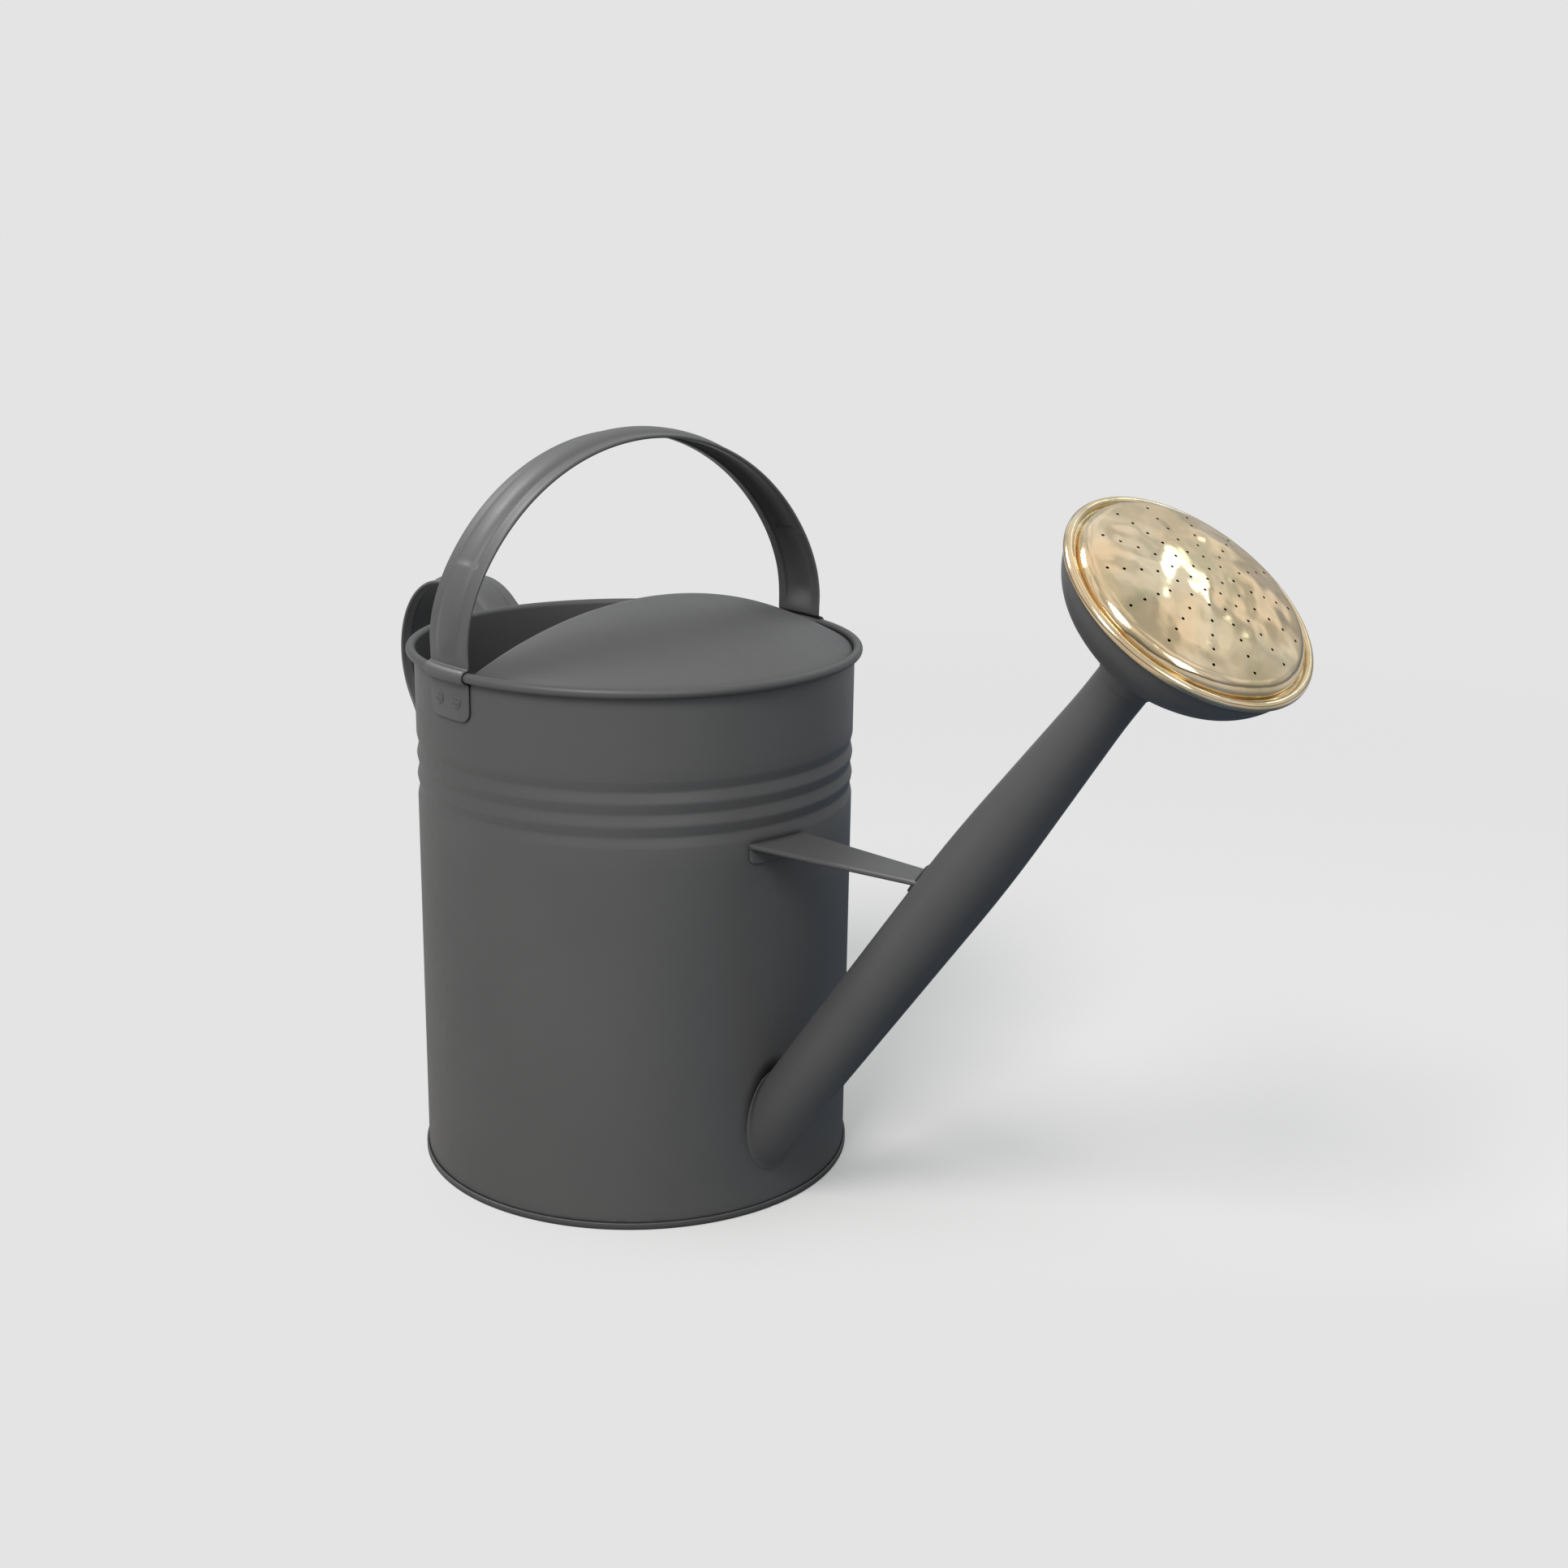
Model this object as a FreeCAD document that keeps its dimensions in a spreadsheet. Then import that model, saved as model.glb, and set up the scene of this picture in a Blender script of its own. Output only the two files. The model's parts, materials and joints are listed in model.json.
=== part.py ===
"""Watering can: a rolled sheet-metal can with two strap handles, a braced spout and a turning rose.

Frame: +Z up, +X from the can towards the spout, origin on the floor at the can's axis.
Lengths are millimetres. Every driving dimension is a cell of the sheet "Dimensions"; each sketch
constraint, feature length and placement is bound to those cells.
"""
import FreeCAD, Part

import math
import os
from types import SimpleNamespace

import Sketcher

# ---------------------------------------------------------------------------------------------
# Driving dimensions
# ---------------------------------------------------------------------------------------------

DIMENSIONS = {
    # can
    "body_radius": (110.0, "outer radius of the can wall"),
    "sheet": (0.8, "thickness of the wall, the cover and the spout"),
    "rim_height": (267.3, "height of the rolled edge's centre"),
    "roll_radius": (2.4, "outer radius of the rolled edge's section"),
    "roll_turn": (300.0, "angle that the edge is rolled through"),
    "wire_clearance": (0.05, "gap between the rim wire and the roll"),
    "bead_drop": (42.5, "distance of the beads' upper end below the rolled edge's centre"),
    "bead_pitch": (10.9, "height of one bead"),
    "bead_depth": (1.2, "depth of a bead"),
    # base
    "base_sheet": (1.0, "thickness of the base pan"),
    "base_recess": (6.0, "height of the base above the floor"),
    "hem_height": (3.6, "height of the seam that grips the wall"),
    "hem_gap": (0.3, "gap between the wall and the seam around it"),
    "skirt_gap": (0.1, "gap between the pan's skirt and the wall"),
    "hem_round": (0.9, "corner radius under the seam"),
    # half cover
    "cover_rise": (27.3, "height of the cover's dome above its edge"),
    "cover_drop": (0.3, "distance of the cover's round edge below the rolled edge's centre"),
    "cover_front": (14.0, "distance of the cover's free edge in front of the can's axis"),
    "cover_gap": (0.3, "gap between the cover's flange and the wall"),
    "cover_flange": (8.0, "depth of the flange inside the wall"),
    # handle straps
    "strap_sheet": (0.9, "thickness of both handle straps"),
    "strap_crown": (2.6, "height of the strap's crown over its shoulders"),
    "crown_share": (9.0, "half width of the crown"),
    "strap_hem": (5.8, "width of the edge folded under"),
    "tab_sheet": (1.2, "thickness of the straps' end tabs"),
    "tab_gap": (0.05, "gap between a tab and the wall"),
    "tab_corner": (5.0, "corner radius of a tab"),
    # carry handle
    "carry_width": (32.0, "width of the carry handle's strap"),
    "carry_lift": (3.7, "distance of the arch's feet above the rolled edge's centre"),
    "carry_rise": (100.0, "height of the arch inside the strap"),
    "carry_shoulder": (87.0, "radius of the arch's sides inside the strap"),
    "carry_tab_drop": (21.8, "distance of the tabs' lower ends below the rolled edge's centre"),
    # rear handle
    "rear_width": (30.0, "width of the rear handle's strap"),
    "rear_standoff": (46.5, "distance of the loop's centre behind the wall"),
    "rear_loop_drop": (20.5, "distance of the loop's centre below the strap's upper end"),
    "rear_loop": (44.0, "radius of the loop inside the strap"),
    "rear_drop": (14.3, "distance of the strap's upper end below the rolled edge's centre"),
    "rear_foot": (87.5, "height where the strap's lower run meets the wall"),
    "rear_tab_length": (22.0, "length of the rear handle's tabs past its runs"),
    # rivets
    "rivet_radius": (1.6, "shank radius of a rivet"),
    "rivet_clearance": (0.05, "radial gap around a shank"),
    "rivet_head": (3.3, "head radius of a rivet"),
    "rivet_head_height": (0.8, "head height of a rivet"),
    "rivet_spread": (7.0, "distance of a rivet from its strap's middle"),
    "carry_rivet_drop": (12.8, "distance of the carry handle's rivets below the rim's centre"),
    "rear_rivet_inset": (9.0, "distance of a rear rivet from its tab's free end"),
    # spout
    "spout_angle": (51.8, "angle of the spout above the floor"),
    "spout_height": (46.3, "height where the spout's axis crosses the wall"),
    "root_radius": (15.6, "outer radius of the spout at the wall"),
    "waist_radius": (16.5, "largest outer radius of the spout"),
    "waist_place": (212.0, "distance of the widest place along the axis"),
    "tip_radius": (11.5, "outer radius of the spout's tip"),
    "tip_place": (312.0, "distance where the straight tip starts"),
    "spout_length": (349.0, "length of the spout along its axis from the wall"),
    "spout_blend": (28.0, "half length of the bend at the waist"),
    "lip_width": (0.8, "width of the spout's lip on the wall"),
    "lip_height": (0.8, "thickness of the spout's lip"),
    # brace
    "brace_sheet": (1.2, "thickness of the brace"),
    "brace_height": (191.6, "height of the brace's top at the wall"),
    "brace_end_height": (198.0, "height of the brace's top at the spout"),
    "brace_width": (34.0, "width of the brace at the wall"),
    "brace_end_width": (17.4, "width of the brace at the spout"),
    "brace_fold": (3.0, "depth of the brace's folded edges"),
    "brace_flange": (10.0, "height of the brace's flange on the wall"),
    "brace_tab": (14.0, "length of the brace's tab on the spout"),
    "brace_gap": (0.08, "gap between the brace and what it is fixed to"),
    # rose
    "rose_place": (374.0, "distance of the rose's rolled ring along the spout's axis"),
    "ring_radius": (52.2, "radius of the rolled ring's centre line"),
    "ring_section": (2.0, "outer radius of the ring's section"),
    "face_sheet": (0.5, "thickness of the brass face"),
    "face_shoulder": (43.4, "radius where the face's dome starts"),
    "face_step": (6.2, "height of the dome's edge above the ring"),
    "face_rise": (5.2, "height of the dome above its edge"),
    "face_valley": (48.8, "radius of the foot of the face's shoulder"),
    "cup_sheet": (0.7, "thickness of the rose's cup"),
    "cup_depth": (37.0, "depth of the cup behind the ring"),
    "cup_round": (30.0, "radius of the cup's round side"),
    "cup_knee": (39.0, "slope of the cup where the round side starts"),
    "cup_slope": (80.0, "slope of the cup at the ring"),
    "roll_end": (-80.0, "angle where the face's rolled edge ends, from straight out"),
    "cup_edge": (1.3, "radius of the bead on the cup's edge"),
    "socket_clearance": (0.05, "radial running clearance of the socket on the spout"),
    "socket_sheet": (1.0, "thickness of the socket"),
    "socket_depth": (44.0, "distance of the socket's mouth behind the ring"),
    "seal_height": (2.0, "thickness of the rubber seal"),
    "seal_width": (2.2, "width of the seal's ring"),
    "seal_gap": (0.05, "gap between the seal and what it seals"),
    "stop_reach": (2.6, "width of the stop in the socket"),
    "hole_radius": (0.65, "radius of the rose's holes"),
    "row_start": (21.6, "radius of the innermost hole of each outer row"),
    "row_pitch": (6.75, "spacing of the holes along an outer row"),
    "inner_ring": (7.3, "radius of the inner ring of holes"),
    "middle_ring": (14.5, "radius of the middle ring of holes"),
}

BEADS = 3
OUTER_ROWS = 14
HOLES_PER_ROW = 4
MIDDLE_HOLES = 12
INNER_HOLES = 6
OUTER_PHASE = 16.0
MIDDLE_PHASE = 21.0
INNER_PHASE = 9.0
OVERRUN = 8.0

# Proportions: a tab's seat under its run and a tool's clearance in sheets, a tool's half length in
# root radii, and the bend of the face's shoulder in sheets
SEAT = 6.0
CLEAR = 3.0
SPAN = 2.5
SHOULDER_BEND = 3.0


class Size:
    """A length or angle with the formula that gives it, so a sketch starts true and stays bound."""

    def __init__(self, value, text):
        self.value = float(value)
        self.text = text

    def _join(self, other, sign, value, swap=False):
        first, second = (other, self) if swap else (self, other)
        return Size(value, f"({first.text} {sign} {second.text})")

    def __add__(self, other):
        other = as_size(other)
        return self._join(other, "+", self.value + other.value)

    def __sub__(self, other):
        other = as_size(other)
        return self._join(other, "-", self.value - other.value)

    def __mul__(self, other):
        other = as_size(other)
        return self._join(other, "*", self.value * other.value)

    def __truediv__(self, other):
        other = as_size(other)
        return self._join(other, "/", self.value / other.value)

    def __rsub__(self, other):
        return as_size(other) - self

    def __neg__(self):
        return Size(-self.value, f"(-1 * {self.text})")

    __radd__ = __add__
    __rmul__ = __mul__


def as_size(number):
    """Return a plain number as a Size."""
    return number if isinstance(number, Size) else Size(number, repr(float(number)))


def root(size):
    return Size(math.sqrt(size.value), f"sqrt({size.text})")


def sine(angle):
    return Size(math.sin(math.radians(angle.value)), f"sin({angle.text} * 1 deg)")


def cosine(angle):
    return Size(math.cos(math.radians(angle.value)), f"cos({angle.text} * 1 deg)")


def arcsine(size):
    return Size(math.degrees(math.asin(size.value)), f"(asin({size.text}) / 1 deg)")


def arctangent(size):
    return Size(math.degrees(math.atan(size.value)), f"(atan({size.text}) / 1 deg)")


def make_sheet(doc):
    """Write the driving dimensions into a spreadsheet; return them, and the places they give."""
    sheet = doc.addObject("Spreadsheet::Sheet", "Dimensions")
    sizes = {}
    for row, (alias, (value, meaning)) in enumerate(DIMENSIONS.items(), start=1):
        sheet.set(f"A{row}", meaning)
        sheet.set(f"B{row}", str(value))
        sheet.setAlias(f"B{row}", alias)
        sizes[alias] = Size(value, f"Dimensions.{alias}")
    doc.recompute()
    dim = SimpleNamespace(**sizes)
    dim.inner_radius = dim.body_radius - dim.sheet
    dim.roll_centre = dim.inner_radius + dim.roll_radius
    dim.bead_top = dim.rim_height - dim.bead_drop
    dim.cover_seat = dim.rim_height - dim.cover_drop
    dim.carry_foot = dim.rim_height + dim.carry_lift
    dim.carry_tab_foot = dim.rim_height - dim.carry_tab_drop
    dim.carry_rivet_height = dim.rim_height - dim.carry_rivet_drop
    dim.rear_top = dim.rim_height - dim.rear_drop
    dim.rear_height = dim.rear_top - dim.rear_loop_drop
    dim.rear_reach = dim.body_radius + dim.rear_standoff
    dim.tab_face = dim.body_radius + dim.tab_gap
    return dim


# ---------------------------------------------------------------------------------------------
# Sketching and features
# ---------------------------------------------------------------------------------------------


def bind(thing, path, size):
    thing.setExpression(path, as_size(size).text)


def new_body(doc, label):
    body = doc.addObject("PartDesign::Body", label)
    body.Label = label
    return body


def sketch_on(body, name, role, height=None):
    """Start a sketch on one of the body's own origin planes, raised along its normal by height."""
    sketch = body.newObject("Sketcher::SketchObject", name)
    plane = [item for item in body.Origin.OriginFeatures if item.Role == role][0]
    sketch.AttachmentSupport = [(plane, "")]
    sketch.MapMode = "FlatFace"
    if height is not None:
        sketch.AttachmentOffset = FreeCAD.Placement(
            FreeCAD.Vector(0, 0, height.value), FreeCAD.Rotation()
        )
        bind(sketch, "AttachmentOffset.Base.z", height)
    return sketch


def pin(sketch, geometry, end, point):
    """Hold one end of a line or arc at a place given by two Sizes."""
    for axis, kind, size in ((-2, "DistanceX", point[0]), (-1, "DistanceY", point[1])):
        size = as_size(size)
        if abs(size.value) < 1e-9:
            sketch.addConstraint(Sketcher.Constraint("PointOnObject", geometry, end, axis))
            continue
        index = sketch.addConstraint(
            Sketcher.Constraint(kind, -1, 1, geometry, end, size.value)
        )
        bind(sketch, f"Constraints[{index}]", size)


def add_arc(sketch, start, end, radius, turn, long_way=False):
    """Add an arc from start to end; turn is 1 for counter-clockwise travel and -1 for clockwise."""
    ax, ay = (as_size(v).value for v in start)
    bx, by = (as_size(v).value for v in end)
    reach = math.hypot(bx - ax, by - ay)
    rise = math.sqrt(max(radius.value**2 - reach**2 / 4, 0.0))
    side = turn * (-1 if long_way else 1)
    cx = (ax + bx) / 2 - side * rise * (by - ay) / reach
    cy = (ay + by) / 2 + side * rise * (bx - ax) / reach
    first, last = ((ax, ay), (bx, by)) if turn > 0 else ((bx, by), (ax, ay))
    angles = [math.atan2(y - cy, x - cx) for x, y in (first, last)]
    circle = Part.Circle(FreeCAD.Vector(cx, cy, 0), FreeCAD.Vector(0, 0, 1), radius.value)
    return sketch.addGeometry(Part.ArcOfCircle(circle, angles[0], angles[1]))


def draw(sketch, start, steps):
    """Draw a closed outline. A step is (x, y) for a line or (x, y, radius, turn[, long_way]) for an arc.

    Every corner is held by the formulas of its two coordinates, and every arc by its radius.
    """
    here = start
    pieces = []
    for step in steps:
        there = (step[0], step[1])
        if len(step) == 2:
            ends = [FreeCAD.Vector(as_size(p[0]).value, as_size(p[1]).value, 0) for p in (here, there)]
            piece = sketch.addGeometry(Part.LineSegment(*ends))
            pieces.append((piece, 1, 2, None))
        else:
            radius = as_size(step[2])
            piece = add_arc(sketch, here, there, radius, *step[3:])
            forward = step[3] > 0
            pieces.append((piece, 1 if forward else 2, 2 if forward else 1, radius))
        here = there
    for number, (piece, first, last, radius) in enumerate(pieces):
        following = pieces[(number + 1) % len(pieces)]
        sketch.addConstraint(
            Sketcher.Constraint("Coincident", piece, last, following[0], following[1])
        )
        if radius is not None:
            index = sketch.addConstraint(Sketcher.Constraint("Radius", piece, radius.value))
            bind(sketch, f"Constraints[{index}]", radius)
        pin(sketch, piece, last, steps[number][:2])
    return pieces


def add_circle(sketch, centre, radius):
    """Draw a circle held by its centre's formulas and its radius."""
    middle = FreeCAD.Vector(as_size(centre[0]).value, as_size(centre[1]).value, 0)
    circle = sketch.addGeometry(Part.Circle(middle, FreeCAD.Vector(0, 0, 1), radius.value))
    index = sketch.addConstraint(Sketcher.Constraint("Radius", circle, radius.value))
    bind(sketch, f"Constraints[{index}]", radius)
    pin(sketch, circle, 3, centre)
    return circle


def rectangle(sketch, low, high):
    """Draw an upright rectangle between two corners."""
    draw(sketch, low, [(high[0], low[1]), high, (low[0], high[1]), low])


def revolve(body, sketch, name, angle=None):
    """Turn a sketch about its vertical axis: a full turn, or angle degrees shared between both sides."""
    feature = body.newObject("PartDesign::Revolution", name)
    feature.Profile = sketch
    feature.ReferenceAxis = (sketch, ["V_Axis"])
    feature.Angle = 360.0
    if angle is not None:
        feature.Midplane = True
        feature.Angle = angle.value
        bind(feature, "Angle", angle)
    return feature


def groove(body, sketch, name):
    """Cut a full turn of a sketch about its vertical axis."""
    feature = body.newObject("PartDesign::Groove", name)
    feature.Profile = sketch
    feature.ReferenceAxis = (sketch, ["V_Axis"])
    feature.Angle = 360.0
    return feature


def pocket(body, sketch, name, reverse=False, both_ways=False):
    """Cut a sketch straight through the body."""
    feature = body.newObject("PartDesign::Pocket", name)
    feature.Profile = sketch
    feature.Type = "ThroughAll"
    feature.Reversed = reverse
    feature.Midplane = both_ways
    return feature


def pipe(body, profile, spine, name):
    """Sweep a closed profile along every edge of a spine sketch."""
    feature = body.newObject("PartDesign::AdditivePipe", name)
    feature.Profile = profile
    edges = range(1, spine.GeometryCount + 1)
    feature.Spine = (spine, [f"Edge{number}" for number in edges])
    return feature


def place(thing, base, axis=None, angle=None):
    """Put an object at base, turned about axis by angle, all bound to the sheet."""
    base = [as_size(v) for v in base]
    rotation = FreeCAD.Rotation()
    if axis is not None:
        rotation = FreeCAD.Rotation(FreeCAD.Vector(*axis), angle.value)
    thing.Placement = FreeCAD.Placement(FreeCAD.Vector(*[v.value for v in base]), rotation)
    for letter, value in zip("xyz", base):
        bind(thing, f"Placement.Base.{letter}", value)
    if axis is not None:
        bind(thing, "Placement.Rotation.Angle", angle)


def primitive(doc, kind, name, **sizes):
    """Make a Part primitive with bound sizes."""
    thing = doc.addObject(kind, name)
    for key, size in sizes.items():
        setattr(thing, key, as_size(size).value)
        bind(thing, key, size)
    return thing


def cut(doc, label, base, tool):
    result = doc.addObject("Part::Cut", label)
    result.Base = base
    result.Tool = tool
    result.Label = label
    return result


def fuse(doc, label, shapes):
    result = doc.addObject("Part::MultiFuse", label)
    result.Shapes = shapes
    result.Label = label
    return result


# ---------------------------------------------------------------------------------------------
# Can
# ---------------------------------------------------------------------------------------------


def bead_edge(dim, outside):
    """Steps up one face of the beaded part of the wall: alternate arcs about the sheet's middle."""
    half = dim.sheet / 2
    quarter = dim.bead_pitch / 4
    swing = dim.bead_depth / 2
    middle = (quarter * quarter + swing * swing) / dim.bead_depth
    lean = arcsine(quarter / middle)
    way = 1 if outside else -1
    crest = middle + half * way
    trough = middle - half * way
    radius = dim.body_radius - half - swing + way * half * cosine(lean)
    face = dim.body_radius if outside else dim.body_radius - dim.sheet
    steps = []
    for number in range(BEADS, 0, -1):
        low = dim.bead_top - number * dim.bead_pitch
        shift = way * half * sine(lean)
        steps.append((radius, low + quarter + shift, crest, 1))
        steps.append((radius, low + 3 * quarter - shift, trough, -1))
        steps.append((face, low + dim.bead_pitch, crest, 1))
    return steps


def backwards(start, steps):
    """The same outline travelled the other way."""
    points = [start] + [step[:2] for step in steps]
    result = []
    for point, step in zip(reversed(points[:-1]), reversed(steps)):
        if len(step) == 2:
            result.append(point)
        else:
            result.append((*point, step[2], -step[3]))
    return result


def make_body_shell(doc, dim, spout_bore):
    """Beaded wall with its upper edge rolled outwards over a wire, holes for rivets and spout."""
    inner = dim.inner_radius
    foot = dim.base_sheet + dim.hem_gap
    bead_foot = dim.bead_top - BEADS * dim.bead_pitch
    core = dim.roll_radius - dim.sheet
    centre = dim.roll_centre
    last = 180 - dim.roll_turn
    outside = bead_edge(dim, True)
    inside = backwards((inner, bead_foot), bead_edge(dim, False))
    body = new_body(doc, "wall")
    section = sketch_on(body, "wall_section", "XZ_Plane")
    steps = [(dim.body_radius, foot), (dim.body_radius, bead_foot)]
    steps += outside
    steps += [
        (dim.body_radius, dim.rim_height),
        (centre + core * cosine(last), dim.rim_height + core * sine(last), core, -1, True),
        (centre + dim.roll_radius * cosine(last), dim.rim_height + dim.roll_radius * sine(last)),
        (inner, dim.rim_height, dim.roll_radius, 1, True),
        (inner, dim.bead_top),
    ]
    steps += inside
    steps.append((inner, foot))
    draw(section, (inner, foot), steps)
    revolve(body, section, "wall_turned")
    carry = sketch_on(body, "carry_rivet_holes", "XZ_Plane")
    rivet_hole = dim.rivet_radius + dim.rivet_clearance
    for side in (-1, 1):
        add_circle(carry, (side * dim.rivet_spread, dim.carry_rivet_height), rivet_hole)
    pocket(body, carry, "carry_rivets_bored", both_ways=True)
    rear = sketch_on(body, "rear_rivet_holes", "YZ_Plane")
    for height in rear_rivet_heights(dim):
        for side in (-1, 1):
            add_circle(rear, (side * dim.rivet_spread, height), rivet_hole)
    pocket(body, rear, "rear_rivets_bored")
    return cut(doc, "body_shell", body, spout_bore)


def make_rim_wire(doc, dim):
    """Stiffening wire inside the rolled edge."""
    wire = primitive(
        doc,
        "Part::Torus",
        "rim_wire",
        Radius1=dim.roll_centre,
        Radius2=dim.roll_radius - dim.sheet - dim.wire_clearance,
    )
    wire.Label = "rim_wire"
    place(wire, (0, 0, dim.rim_height))
    return wire


def make_base_pan(doc, dim):
    """Raised floor of the can with a skirt and a seam folded up around the wall."""
    outer = dim.body_radius + dim.hem_gap + dim.base_sheet
    seam = dim.body_radius + dim.hem_gap
    skirt = dim.inner_radius - dim.skirt_gap
    inner = skirt - dim.base_sheet
    bend = dim.hem_round
    body = new_body(doc, "base_pan")
    section = sketch_on(body, "base_section", "XZ_Plane")
    draw(
        section,
        (0, dim.base_recess),
        [
            (inner, dim.base_recess),
            (inner, bend),
            (inner + bend, 0, bend, 1),
            (outer - bend, 0),
            (outer, bend, bend, 1),
            (outer, dim.hem_height),
            (seam, dim.hem_height),
            (seam, dim.base_sheet),
            (skirt, dim.base_sheet),
            (skirt, dim.base_recess + dim.base_sheet),
            (0, dim.base_recess + dim.base_sheet),
            (0, dim.base_recess),
        ],
    )
    revolve(body, section, "base_turned")
    return body


def make_half_cover(doc, dim):
    """Domed splash guard over the spout's half of the opening, with a flange inside the wall."""
    edge = dim.inner_radius - dim.cover_gap
    ball = (edge * edge + dim.cover_rise * dim.cover_rise) / (2 * dim.cover_rise)
    top = dim.cover_seat + dim.cover_rise
    under = ball - dim.sheet
    lip = edge - dim.sheet
    foot = dim.cover_seat - dim.cover_flange
    body = new_body(doc, "half_cover")
    section = sketch_on(body, "cover_section", "XZ_Plane")
    draw(
        section,
        (0, top - dim.sheet),
        [
            (lip, top - ball + root(under * under - lip * lip), under, -1),
            (lip, foot),
            (edge, foot),
            (edge, dim.cover_seat),
            (0, top, ball, 1),
            (0, top - dim.sheet),
        ],
    )
    revolve(body, section, "cover_turned")
    doc.recompute()
    window = sketch_on(body, "cover_cut", "XY_Plane")
    rectangle(window, (-1.5 * dim.body_radius, -1.5 * dim.body_radius),
              (dim.cover_front, 1.5 * dim.body_radius))
    pocket(body, window, "cover_halved", reverse=True)
    return body


# ---------------------------------------------------------------------------------------------
# Handles
# ---------------------------------------------------------------------------------------------


def draw_strap(sketch, dim, width, across, origin, outward):
    """Section of a handle strap: edges folded under and a raised crown.

    across and outward are 0 or 1, the sketch axes along the strap's width and away from the hand;
    origin is the coordinate of the folded edges' inner face, and width the strap's width.
    """
    skin = dim.strap_sheet
    half = width / 2
    bulge = (dim.crown_share * dim.crown_share + dim.strap_crown * dim.strap_crown) / (
        2 * dim.strap_crown
    )
    under = bulge - skin
    crown_centre = 2 * skin + dim.strap_crown - bulge
    drop = crown_centre - skin
    inside = root(under * under - drop * drop)
    hem = half - dim.strap_hem
    turn = outward

    def at(u, v):
        height = origin + outward * v
        return (u, height) if across == 0 else (height, u)

    flip = turn if across == 0 else -turn
    steps = [
        at(half - skin, as_size(0)),
        (*at(half, skin), skin, flip),
        (*at(half - skin, 2 * skin), skin, flip),
        at(dim.crown_share, 2 * skin),
        (*at(-dim.crown_share, 2 * skin), bulge, flip),
        at(skin - half, 2 * skin),
        (*at(-half, skin), skin, flip),
        (*at(skin - half, as_size(0)), skin, flip),
        at(-hem, as_size(0)),
        at(-hem, skin),
        at(-inside, skin),
        (*at(inside, skin), under, -flip),
        at(hem, skin),
        at(hem, as_size(0)),
    ]
    draw(sketch, at(hem, as_size(0)), steps)


def make_carry_handle(doc, dim):
    """Overhead strap: a three-centred arch whose ends wrap the rolled rim and lie on the wall."""
    body = new_body(doc, "carry_handle")
    span, rise, side = dim.body_radius, dim.carry_rise, dim.carry_shoulder
    top = ((span - side) * (span - side) + rise * rise - side * side) / (2 * (rise - side))
    centre = dim.carry_foot + rise - top
    reach = top - side
    knee = span - side + side * (span - side) / reach
    knee_height = dim.carry_foot + side * (top - rise) / reach
    section = sketch_on(body, "strap_section", "XY_Plane", dim.carry_foot)
    draw_strap(section, dim, dim.carry_width, 0, span, 1)
    spine = sketch_on(body, "arch_line", "YZ_Plane")
    draw_arch(spine, span, dim.carry_foot, knee, knee_height, side, top)
    pipe(body, section, spine, "arch")
    tab = sketch_on(body, "tab_section", "YZ_Plane")
    face = dim.tab_face
    back = face + dim.tab_sheet
    roll = dim.roll_centre
    near = dim.roll_radius + dim.tab_gap
    far = near + dim.tab_sheet
    dip = root(near * near - (roll - face) * (roll - face))
    lift = root(far * far - (roll - back) * (roll - back))
    crest = dim.carry_foot + 2 * dim.tab_sheet
    draw(
        tab,
        (face, dim.carry_tab_foot),
        [
            (back, dim.carry_tab_foot),
            (back, dim.rim_height - lift),
            (back, dim.rim_height + lift, far, 1, True),
            (back, crest),
            (face, crest),
            (face, dim.rim_height + dip),
            (face, dim.rim_height - dip, near, -1, True),
            (face, dim.carry_tab_foot),
        ],
    )
    angle = 2 * arcsine(dim.carry_width / 2 / dim.body_radius)
    first = revolve(body, tab, "tab", angle)
    doc.recompute()
    pattern = body.newObject("PartDesign::PolarPattern", "tabs")
    pattern.Originals = [first]
    pattern.Axis = (tab, ["V_Axis"])
    pattern.Angle = 360.0
    pattern.Occurrences = 2
    body.Tip = pattern
    doc.recompute()
    holes = sketch_on(body, "rivet_holes", "XZ_Plane")
    for way in (-1, 1):
        add_circle(
            holes,
            (way * dim.rivet_spread, dim.carry_rivet_height),
            dim.rivet_radius + dim.rivet_clearance,
        )
    pocket(body, holes, "rivets_bored", both_ways=True)
    doc.recompute()
    round_tabs(body, dim, [dim.carry_tab_foot.value])
    return body


def round_tabs(body, dim, feet):
    """Round the lower corners of a handle's tabs: the short edges through the sheet at each foot."""
    solid = body.Tip
    chosen = []
    for number, edge in enumerate(solid.Shape.Edges, start=1):
        box = edge.BoundBox
        level = any(abs(box.ZMin - foot) < 1e-4 and abs(box.ZMax - foot) < 1e-4 for foot in feet)
        if level and edge.Length < 1.5 * dim.tab_sheet.value:
            chosen.append(f"Edge{number}")
    fillet = body.newObject("PartDesign::Fillet", "tabs_rounded")
    fillet.Base = (solid, chosen)
    fillet.Radius = dim.tab_corner.value
    bind(fillet, "Radius", dim.tab_corner)
    body.Tip = fillet


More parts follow.
